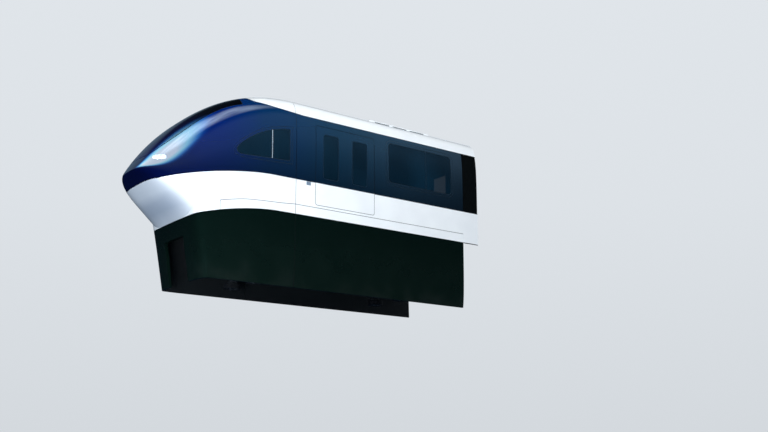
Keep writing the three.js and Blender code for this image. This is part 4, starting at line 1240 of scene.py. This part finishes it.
# %% [markdown]
# ## Lamps
# A headlamp is a clear lens flush with the skin, a chromed pocket behind it and three diode lamps in the
# pocket. The small marker lamp under the band is a flush frosted lens. Both follow the body's form, so
# they are cut from thin layers of it.

# %% Lamps
def side_y(x, z, inset=0.0):
    """Half width of the body at a point of its side view."""
    half, top, middle, bottom, upper, lower = (float(value) for value in frame_sizes(x, inset))
    power, reach = (upper, top - middle) if z >= middle else (lower, middle - bottom)
    return half * max(0.0, 1 - (abs(z - middle) / reach) ** power) ** (1 / power)


POCKET = 0.055
DIODE_XS = (-4.82, -4.755, -4.69)
pocket_form = body_form("pocket_form", POCKET, BEYOND)
lamp_fit = lamp_tool("lamp_fit", -1, -0.001)
lamp_rim = lamp_tool("lamp_rim", -1, -0.014)
pocket = stock("pocket", glass_form, keep=[lamp_rim], remove=[pocket_form])
tray_left = carve("lamp_tray_left", glass_form, keep=[lamp_fit], remove=[inner_form, pocket])
lens_left = carve("lamp_lens_left", glass_stock, keep=[lamp_fit])
dress_sides(lens_left, lamp_lens, lamp_lens, "lamp_lens", "headlamp_%s", GLASS)
for sign, (side, tray) in zip((-1, 1), both_sides(tray_left)):
    tray.data.materials.clear()
    tray.data.materials.append(chrome_bowl)
    fit(tray, "lamp_lens")
    diodes = []
    for x in DIODE_XS:
        z = (LAMP[2] + LAMP[3]) / 2
        bulb = turned([(0, 0.018), (0.012, 0.016), (0.022, 0.008), (0.025, 0.0), (0.025, -0.003),
                       (0, -0.003)], steps=24)
        y = sign * (side_y(x, z, POCKET) + 0.012)
        facing = Vector((-0.8, sign * 0.6, 0.15)).to_track_quat("Z", "Y").to_matrix().to_4x4()
        diodes.append((bulb, Matrix.Translation((x, y, z)) @ facing, 0))
    fit(gather("lamp_diodes_" + side, diodes, [lit_lamp]), "lamp_lens")
marker_left = carve("marker_lamp_left", glass_stock, keep=[marker_fit, left_side])
dress_sides(marker_left, marker_lens, marker_lens, "lamp_lens", inset=GLASS)
print("headlamp lens", len(lens_left.data.polygons), "faces")

# %% [markdown]
# ## Gangway
# Round the gangway lies a pleated bellows of moulded rubber, clamped to an end frame. Its folds run round
# the whole section, so it is the body's form again with an inset that swings along its length. The white
# side panels and the cantrails reach over it. It ends at the middle of the gangway.

# %% Gangway bellows
PLEAT = 0.045
PASSAGE_HALF = 0.62
PASSAGE_HEIGHTS = (FLOOR_Z, FLOOR_Z + 2.0)


def pleated_form(name, crest, valley):
    """The body's form over the gangway, with folds round it."""
    def station(share):
        x = BODY_END_X + 0.0004 + share * (GANGWAY_X - BODY_END_X - 0.0004)
        depth = crest + (valley - crest) * abs(math.sin(math.pi * (x - BODY_END_X) / PLEAT)) ** 0.7
        return x, [float(value) for value in frame_sizes(0.0, depth)]

    return rolled(name, round((GANGWAY_X - BODY_END_X) / PLEAT) * 6, station)


# The pleats show in the band's height, and further in they run from just over the sill's edge to the roof
over_gangway = (3.0, FAR)
passage = block_tool("passage", over_gangway, (-PASSAGE_HALF, PASSAGE_HALF), PASSAGE_HEIGHTS)
band_height = block_tool("band_height", over_gangway, z=(BELT_Z + 0.002, CANTRAIL_Z - 0.002))
above_sill = block_tool("above_sill", over_gangway, z=(1.0296, FAR))
pleats_out, pleats_in = pleated_form("pleats_out", 0.018, 0.062), pleated_form("pleats_in", 0.0712, 0.1)
flush_pleats = carve("flush_pleats", pleats_out, keep=[band_height], remove=[passage])
inner_pleats = carve("inner_pleats", pleats_in, keep=[above_sill], remove=[passage])
bellows = join_pieces("pleated_bellows", [flush_pleats, inner_pleats], bellows_rubber)
fit(bellows, "bellows_rubber", "gangway_bellows")

# Bars of the clamp frame round the passage: x from, x to, y from, y to, z from, z to
CLAMP_WIDTH = 0.05
CLAMP_OUT = PASSAGE_HALF + CLAMP_WIDTH
foot, head = PASSAGE_HEIGHTS
clamp = [boxed(4.482, 4.4999, *bar_box, edge=0.003) for bar_box in (
    (-CLAMP_OUT, CLAMP_OUT, head, head + CLAMP_WIDTH), (-CLAMP_OUT, CLAMP_OUT, foot - CLAMP_WIDTH, foot),
    (-CLAMP_OUT, -PASSAGE_HALF, foot, head), (PASSAGE_HALF, CLAMP_OUT, foot, head))]
for k in range(12):
    for side in (-1, 1):
        spot = moved(4.4905, side * 0.6195, FLOOR_Z + 0.08 + k * 0.167, (90 * side, "X"))
        clamp.append((bolt_head(0.0065), spot, 1))
fit(gather("gangway_clamp_frame", clamp, [brushed_stainless, zinc_plate]), "stainless_steel")
tread_plate = [boxed(3.87, 4.4995, -0.58, 0.58, FLOOR_Z - 0.001, FLOOR_Z + 0.006, edge=0.002)]
for row in range(12):
    for column in range(22):
        stud = turned([(0, 0.009), (0.006, 0.0085), (0.009, 0.006)], steps=8)
        tread_plate.append((stud, moved(3.9 + row * 0.052, -0.55 + column * 0.0524, FLOOR_Z), 0))
fit(gather("gangway_tread_plate", tread_plate, [brushed_stainless]), "stainless_steel")
print("bellows", len(bellows.data.polygons), "faces, tread plate", len(tread_plate) - 1, "studs")

# %% [markdown]
# ## Roof unit
# The air conditioner is a low sheet-metal housing on the flat of the roof, with sloping ends, louvres
# along its sides and two fans under wire guards on top.

# %% Roof unit
UNIT = {"x0": 1.1, "x1": 3.4, "y": 0.62, "low": ROOF_Z - 0.018, "high": ROOF_Z + 0.13}
FANS = (1.75, 2.75)
LOUVRES = [(1.42 + k * 0.6, 1.9 + k * 0.6, side) for k in range(3) for side in (-1, 1)]
hull = [(UNIT["x0"], UNIT["low"]), (UNIT["x1"], UNIT["low"]), (3.25, UNIT["high"]), (1.25, UNIT["high"])]
unit_shape = gather("unit_hull", [pulled(hull, -UNIT["y"], UNIT["y"], edge=0.018, segments=4)],
                    [white_paint])
fan_wells = [gather("fan_well", [(turned([(0, -0.07), (0.24, -0.07), (0.27, 0.05), (0, 0.05)], steps=64),
                                  moved(x, 0, UNIT["high"]), 0)], [black_coat]) for x in FANS]
louvre_holes = [block_tool("louvre_hole", (x0, x1), (side * 0.6, side * 0.7), (ROOF_Z + 0.035, ROOF_Z + 0.1))
                for x0, x1, side in LOUVRES]
tools += [unit_shape, *fan_wells]
housing = carve("roof_unit_housing", unit_shape, remove=fan_wells + louvre_holes)
housing.data.materials.clear()
housing.data.materials.append(white_paint)
bm = bmesh.new()
bm.from_mesh(housing.data)
soften(bm)
bm.to_mesh(housing.data)
bm.free()
fit(housing, "white_paint", "roof_unit")

fittings = []
for x in FANS:
    at = moved(x, 0, UNIT["high"])
    for k in range(9):
        r = 0.03 + 0.026 * k
        wire = [(r - 0.002, -0.004), (r + 0.002, -0.004), (r + 0.002, 0.0), (r - 0.002, 0.0)]
        fittings.append((turned(wire, closed=True, steps=48), at, 0))
    for k in range(6):
        spoke = boxed(-0.262, 0.262, -0.003, 0.003, -0.009, -0.004, edge=0.001, segments=1)
        fittings.append((spoke, at @ Matrix.Rotation(math.pi * k / 6, 4, "Z"), 0))
    fittings.append((turned([(0, -0.015), (0.05, -0.02), (0.055, -0.06), (0, -0.06)]), at, 0))
    for k in range(7):
        blade = Matrix.Rotation(2 * math.pi * k / 7, 4, "Z") @ Matrix.Rotation(math.radians(28), 4, "X")
        fittings.append((boxed(0.05, 0.225, -0.035, 0.035, -0.003, 0.0, edge=0.001, segments=1),
                         at @ Matrix.Translation((0, 0, -0.045)) @ blade, 0))
for x0, x1, side in LOUVRES:
    for row in range(5):
        slat = boxed(x0, x1, -0.011, 0.011, -0.001, 0.001, edge=0.0005, segments=1)
        fittings.append((slat, moved(0, side * 0.608, ROOF_Z + 0.042 + row * 0.0128, (-35 * side, "X")), 0))
fit(gather("roof_unit_grilles", fittings, [black_coat]), "bogie_paint")
print("roof unit", len(housing.data.polygons), "faces and", len(fittings), "fittings")

# %% [markdown]
# ## Floor, end wall and cab partition
# These plain panels keep their shape, and only their finish changes: speckled vinyl on the floor
# and a dark slate laminate on the walls, whose darkness is painted shade that keeps them dim behind the
# tinted glass.

# %% Finishes of the plain panels
def refinish(node, material):
    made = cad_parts[node]
    for spot in made.material_slots:
        spot.material = material


refinish("floor", vinyl_floor)
for node in ("end_wall", "cab_partition"):
    refinish(node, slate_laminate)

# %% [markdown]
# ## Benches and their cushions
# Along each side of the saloon runs a bench of five places, with a separate seat pad and back pad for
# each. A pad is foam in a sewn cover: a crowned closed form, drawn in at its seams. One of each is swollen
# by a short cloth simulation and then copied to the other places, because they come from one mould.

# %% Padding
def swollen(name, size, voxel, cap):
    """A pad of the given size: remeshed, swollen by a cloth simulation, and drawn in along its seams."""
    start = [s - 2 * cap * 0.55 for s in size]
    x, y, z = (s / 2 for s in start)
    pad = gather(name, [boxed(-x, x, -y, y, -z, z, edge=start[2] * 0.3, segments=3)], [moquette])
    remesh = pad.modifiers.new("Remesh", "REMESH")
    remesh.mode = "VOXEL"
    remesh.voxel_size = voxel
    base = worked_out(pad)
    pad.data = base
    before = np.empty(len(base.vertices) * 3)
    base.vertices.foreach_get("co", before)
    cloth = pad.modifiers.new("Cloth", "CLOTH")
    cloth.settings.use_pressure = True
    cloth.settings.uniform_pressure_force = 4.0
    cloth.settings.effector_weights.gravity = 0.0
    scene = bpy.context.scene
    for step in range(1, 21):
        scene.frame_set(step)
    after_mesh = worked_out(pad)
    scene.frame_set(1)
    after = np.empty(len(before))
    after_mesh.vertices.foreach_get("co", after)
    bpy.data.meshes.remove(after_mesh)
    move = (after - before).reshape(-1, 3)
    length = np.linalg.norm(move, axis=1)
    move *= np.minimum(1, cap / np.maximum(length, 1e-9))[:, None]
    points = before.reshape(-1, 3) + move
    limit = np.array(size) / 2
    points = np.clip(points, -limit, limit)
    base.vertices.foreach_set("co", points.reshape(-1))
    bm = bmesh.new()
    bm.from_mesh(base)
    bmesh.ops.smooth_vert(bm, verts=bm.verts, factor=0.5, use_axis_x=True, use_axis_y=True, use_axis_z=True)
    sew(bm, size)
    for face in bm.faces:
        face.smooth = True
    bm.to_mesh(base)
    bm.free()
    return pad


def sew(bm, size):
    """Draw in a piped seam round the middle of the edge and two sewn channels across the top."""
    for v in bm.verts:
        x, y, z = v.co
        near_edge = max(abs(x) / (size[0] / 2), abs(y) / (size[1] / 2))
        if near_edge > 0.8:
            seam = math.exp(-((z - size[2] * 0.12) / 0.006) ** 2)
            inward = 1 - 0.006 * seam / max(abs(x), abs(y), 0.05)
            v.co.x, v.co.y = x * inward, y * inward
        if z > 0:
            for channel in (-0.17, 0.17):
                depth = 0.007 if near_edge < 0.93 else 0.0021
                v.co.z -= depth * math.exp(-((y - channel * size[1]) / 0.007) ** 2)


def placed_copy(pad, name, matrix):
    """A copy of a pad, with its place in its mesh."""
    mesh = pad.data.copy()
    mesh.transform(matrix)
    made = bpy.data.objects.new(name, mesh)
    bpy.context.collection.objects.link(made)
    return made


SEATS = 5
BENCH = (1.5, 3.78)
PITCH = (BENCH[1] - BENCH[0]) / SEATS
seat_pad = swollen("seat_pad_pattern", (PITCH - 0.012, 0.36, 0.075), 0.009, 0.02)
back_pad = swollen("back_pad_pattern", (PITCH - 0.012, 0.42, 0.055), 0.009, 0.016)
for side, sign in (("left", -1), ("right", 1)):
    turn = Matrix.Rotation(math.pi if sign < 0 else 0, 4, "Z")
    lean = Matrix.Rotation(math.radians(84), 4, "X")
    for k in range(SEATS):
        x = BENCH[0] + (k + 0.5) * PITCH
        seat = placed_copy(seat_pad, "bench_pad_%s_%d" % (side, k + 1),
                           moved(x, sign * 0.885, FLOOR_Z + 0.4135) @ turn)
        back = placed_copy(back_pad, "bench_back_%s_%d" % (side, k + 1),
                           moved(x, sign * 1.085, FLOOR_Z + 0.68) @ turn @ lean)
        for piece in (seat, back):
            fit(piece, "seat_cloth")
    box = boxed(1.56, 3.72, *sorted((sign * 0.86, sign * 1.1)), FLOOR_Z + 0.0004, FLOOR_Z + 0.36, edge=0.01)
    shelf = [
        boxed(*BENCH, *sorted((sign * 0.715, sign * 1.12)), FLOOR_Z + 0.35, FLOOR_Z + 0.378, edge=0.008),
        boxed(*BENCH, *sorted((sign * 1.105, sign * 1.14)), FLOOR_Z + 0.37, FLOOR_Z + 0.9, edge=0.008),
        (box, None, 1)]
    for k in range(SEATS + 1):
        x = min(max(BENCH[0] + k * PITCH, BENCH[0] + 0.02), BENCH[1] - 0.02)
        rib = [(0.72, FLOOR_Z + 0.36), (1.1, FLOOR_Z + 0.36), (1.1, FLOOR_Z + 0.24)]
        shelf.append(prism([(x - 0.01, sign * y, z) for y, z in rib], (0.02, 0, 0)))
    fit(gather("bench_frame_" + side, shelf, [black_coat, lining]), "bogie_paint", "bench_seat_" + side)
print("pads", len(seat_pad.data.polygons), len(back_pad.data.polygons), "faces")

# %% [markdown]
# ## Driver's place
# The driver sits in the middle on a padded seat with a high back, on a pedestal. In front stands a
# moulded desk with two dark displays under a hood and a short handle for traction and brake.

# %% Driver's seat and desk
seat_cushion = swollen("driver_pad_pattern", (0.47, 0.47, 0.11), 0.009, 0.022)
seat_back = swollen("driver_back_pattern", (0.43, 0.74, 0.1), 0.009, 0.022)
tools += [seat_pad, back_pad, seat_cushion, seat_back]
quarter_turn = Matrix.Rotation(math.pi / 2, 4, "Z")
cushion = placed_copy(seat_cushion, "driver_seat_pad", moved(-2.62, 0, FLOOR_Z + 0.447) @ quarter_turn)
back = placed_copy(seat_back, "driver_seat_back",
                   moved(-2.362, 0, FLOOR_Z + 0.825, (-82, "Y")) @ quarter_turn)
for piece in (cushion, back):
    fit(piece, "seat_cloth")
stand = [
    (turned([(0, 0.03), (0.06, 0.03), (0.08, 0.02), (0.18, 0.016), (0.19, 0.008), (0.19, 0.0004)]),
     moved(-2.6, 0, FLOOR_Z), 0),
    (turned([(0.05, 0.02), (0.05, 0.2), (0.04, 0.21), (0.04, 0.36)]), moved(-2.6, 0, FLOOR_Z), 1),
    boxed(-2.82, -2.4, -0.2, 0.2, FLOOR_Z + 0.355, FLOOR_Z + 0.39, edge=0.012),
    pulled([(-2.43, FLOOR_Z + 0.38), (-2.38, FLOOR_Z + 0.38), (-2.3, FLOOR_Z + 0.62),
            (-2.33, FLOOR_Z + 0.62)], -0.1, 0.1, edge=0.004)]
fit(gather("driver_seat_stand", stand, [black_coat, turned_steel]), "bogie_paint", "drivers_seat")

# The desk's side view, as x and the height above the floor
DESK = [(-3.9, 0.0004), (-3.26, 0.0004), (-3.26, 0.56), (-3.18, 0.7), (-3.2, 0.745), (-3.42, 0.8),
        (-3.48, 0.845), (-3.56, 0.84), (-3.9, 0.62)]
desk = [pulled([(x, FLOOR_Z + up) for x, up in DESK], -0.7, 0.7, edge=0.015, segments=3)]
for y in (-0.3, 0.3):
    screen = boxed(-0.15, 0.15, -0.11, 0.11, -0.006, 0.006, edge=0.004)
    desk.append((screen, moved(-3.33, y, FLOOR_Z + 0.788, (13, "Y")) @ quarter_turn, 1))
handle = turned([(0, 0.13), (0.018, 0.128), (0.022, 0.11), (0.016, 0.09), (0.008, 0.08), (0.008, 0)],
                steps=24)
desk.append((handle, moved(-3.26, 0, FLOOR_Z + 0.72), 2))
fit(gather("driver_desk", desk, [desk_plastic, black_coat, turned_steel]),
    "console_plastic", "drivers_console")
print("desk", len(desk), "parts")

# %% [markdown]
# ## Grab rails
# A stainless tube runs under the ceiling on the centre line, and three poles stand between the floor and
# the ceiling. The joints are turned sockets, and each foot has a flange with three screws.

# %% Grab rails
RAIL_Z = FLOOR_Z + 2.02
POLE_TOP = ROOF_Z - WALL - 0.001
rails = []
tube = turned([(0, -1.1), (0.014, -1.1), (0.017, -1.095), (0.017, 3.695), (0.014, 3.7), (0, 3.7)], steps=24)
rails.append((tube, moved(0, 0, RAIL_Z, (90, "Y")), 0))
for x in (-0.6, 1.25, 3.0):
    rails.append((turned([(0.016, FLOOR_Z + 0.001), (0.016, POLE_TOP)], steps=24), moved(x, 0, 0), 0))
    socket = [(0.016, -0.05), (0.022, -0.045), (0.025, 0), (0.022, 0.045), (0.016, 0.05)]
    rails.append((turned(socket, steps=24), moved(x, 0, RAIL_Z), 0))
    for z, turn in ((FLOOR_Z + 0.0004, 0), (POLE_TOP, 180)):
        foot = turned([(0.016, 0.03), (0.02, 0.028), (0.024, 0.01), (0.045, 0.007), (0.048, 0.0)], steps=32)
        end = moved(x, 0, z, (turn, "X"))
        rails.append((foot, end, 0))
        for screw_x, screw_y in ring_places(3, 0.036):
            rails.append((bolt_head(0.004), end @ moved(screw_x, screw_y, 0.006), 0))
fit(gather("stainless_grab_rails", rails, [brushed_stainless]), "stainless_steel", "grab_rails")
print("grab rails", len(rails), "parts")

# %% [markdown]
# ## Clear the bench
# The tools and the stock have done their work and are deleted, so that only the car is left.

# %% Delete the tools
for tool in tools:
    bpy.data.objects.remove(tool)
print("tools deleted", len(tools))

# %% [markdown]
# ## Studio
# The car is seen from a little below, so the pale floor lies far under it. The
# light is plain and soft. The world is split by what asks for its light: the camera sees a pale room, matt
# surfaces are lit by a room that is dim and blue below the floor, and gloss paint mirrors dark cloths, a
# long bright slot and a lamp ahead of the nose. Four softboxes, which the paint does not mirror, fill in.

# %% Floor and light
GROUND_Z = -4.95
LAMP_RADIANCE = 8.0

# Matt studio paint on the floor, pale grey
floor_paint = clouded("matt_studio_paint", [(0.3, "#d1d5da"), (0.7, "#d4d8dd")], 0.15, 2.0, Roughness=0.9)[0]
ground_shape = bmesh.new()
bmesh.ops.create_circle(ground_shape, cap_ends=True, segments=96, radius=600)
bmesh.ops.translate(ground_shape, vec=(0, 0, GROUND_Z), verts=ground_shape.verts)
ground = as_object(ground_shape, "studio_floor", [floor_paint])
ground.visible_glossy = False
ground.visible_diffuse = False

world = bpy.data.worlds.new("studio_world")
world.use_nodes = True
tree = world.node_tree
way = add(tree, "TexCoord").outputs["Generated"]
split = add(tree, "SeparateXYZ", {"Vector": way})
up = split.outputs["Z"]
room = add(tree, "ValToRGB", {"Fac": up}, stops=[(0.0, "#d3d8dd"), (0.25, "#dde2e7"), (1.0, "#e9eef3")])
cloths = add(tree, "ValToRGB", {"Fac": up}, stops=[
    (0.0, "#101c28"), (0.26, "#14202b"), (0.38, "#637a8e"), (0.6, "#6c8294"), (0.7, "#232f3a"),
    (1.0, "#161f28")])
# A long bright slot high over the car's left shoulder, a little uneven as its cloth hangs
leftwards = add(tree, "VectorMath", {0: way, 1: (-0.5, -0.866, 0.0)}, operation="DOT_PRODUCT")
beside = add(tree, "MapRange", {"Value": leftwards, "From Min": 0.16, "From Max": 0.34})
low_edge = add(tree, "MapRange", {"Value": up, "From Min": 0.74, "From Max": 0.84})
high_edge = add(tree, "MapRange", {"Value": up, "From Min": 0.985, "From Max": 0.95})
slot = add(tree, "Math", {0: low_edge, 1: high_edge}, operation="MULTIPLY")
lit = add(tree, "Math", {0: slot, 1: beside}, operation="MULTIPLY")
hang = add(tree, "TexNoise", {"Vector": way, "Scale": 7.0, "Detail": 3.0})
uneven = add(tree, "MapRange", {
    "Value": hang, "From Min": 0.35, "From Max": 0.65, "To Min": 2.0, "To Max": 5.0})
bright = add(tree, "Math", {0: lit, 1: uneven}, operation="MULTIPLY")
slot_light = add(tree, "VectorMath", {0: linear("#d8ecfb")[:3], "Scale": bright}, operation="SCALE")
# A large lamp ahead of the nose, white in the middle, then cyan and blue, cut off above the floor
ahead = add(tree, "VectorMath", {0: way, 1: (-1.0, -0.2, 0.0)}, operation="DOT_PRODUCT")
over_floor = add(tree, "MapRange", {"Value": up, "From Min": 0.36, "From Max": 0.66})
core = add(tree, "Math", {0: ahead, 1: over_floor}, operation="MULTIPLY")
rim = add(tree, "ValToRGB", {"Fac": core}, stops=[
    (0.08, "#000000"), (0.15, "#0c3566"), (0.21, "#3a7db8"), (0.34, "#9adcf0"), (0.5, "#dcecf8")])
ahead_light = add(tree, "VectorMath", {0: rim, "Scale": LAMP_RADIANCE}, operation="SCALE")
glow = add(tree, "VectorMath", {0: slot_light, 1: ahead_light}, operation="ADD")
mirrored_room = add(tree, "VectorMath", {0: cloths, 1: glow}, operation="ADD")
# Soft light comes from the pale room above the floor's level, and from the dim blue shade below it
ray = add(tree, "LightPath")
level = add(tree, "MapRange", {"Value": up, "From Min": -0.15, "From Max": 0.0})
overhead = add(tree, "ValToRGB", {"Fac": up}, stops=[
    (0.0, "#dde2e7"), (0.3, "#dde2e7"), (0.7, "#b0b8c0"), (1.0, "#a4acb5")])
soft = add(tree, "Mix", {0: level, 6: linear("#4a6680"), 7: overhead}, data_type="RGBA")
seen = add(tree, "Mix", {0: ray.outputs["Is Diffuse Ray"], 6: room, 7: soft}, data_type="RGBA")
mixed = add(tree, "Mix", {0: ray.outputs["Is Glossy Ray"], 6: seen, 7: mirrored_room}, data_type="RGBA")
feed(tree.nodes["Background"], "Color", mixed)
bpy.context.scene.world = world
bpy.context.scene.view_settings.view_transform = "Standard"

# Name, place, aim, width, height, power in watts, colour and spread in degrees
SOFTBOXES = [
    ("camera_side_key", (-5, -17, 9), (-0.5, 0, 1.2), 12, 8, 2600, "#fbfdff", 180),
    ("far_side_key", (4, 17, 9), (-0.5, 0, 1.2), 12, 8, 1700, "#fbfdff", 180),
    ("low_nose_fill", (-10, -8, -3.5), (-4.5, -0.6, 0.9), 4, 3, 120, "#e8f2ff", 56),
    ("gangway_fill", (17, 2, 6), (4.5, 0, 1.5), 8, 6, 1200, "#fbfdff", 180)]
for name, place, aim, width, height, power, colour, spread in SOFTBOXES:
    light = bpy.data.lights.new(name, "AREA")
    light.shape = "RECTANGLE"
    light.size, light.size_y = width, height
    light.energy = power
    light.color = linear(colour)[:3]
    light.spread = math.radians(spread)
    lamp = bpy.data.objects.new(name, light)
    lamp.location = place
    lamp.rotation_euler = (Vector(aim) - Vector(place)).to_track_quat("-Z", "Y").to_euler()
    lamp.visible_glossy = False
    bpy.context.collection.objects.link(lamp)
print("softboxes", len(SOFTBOXES))
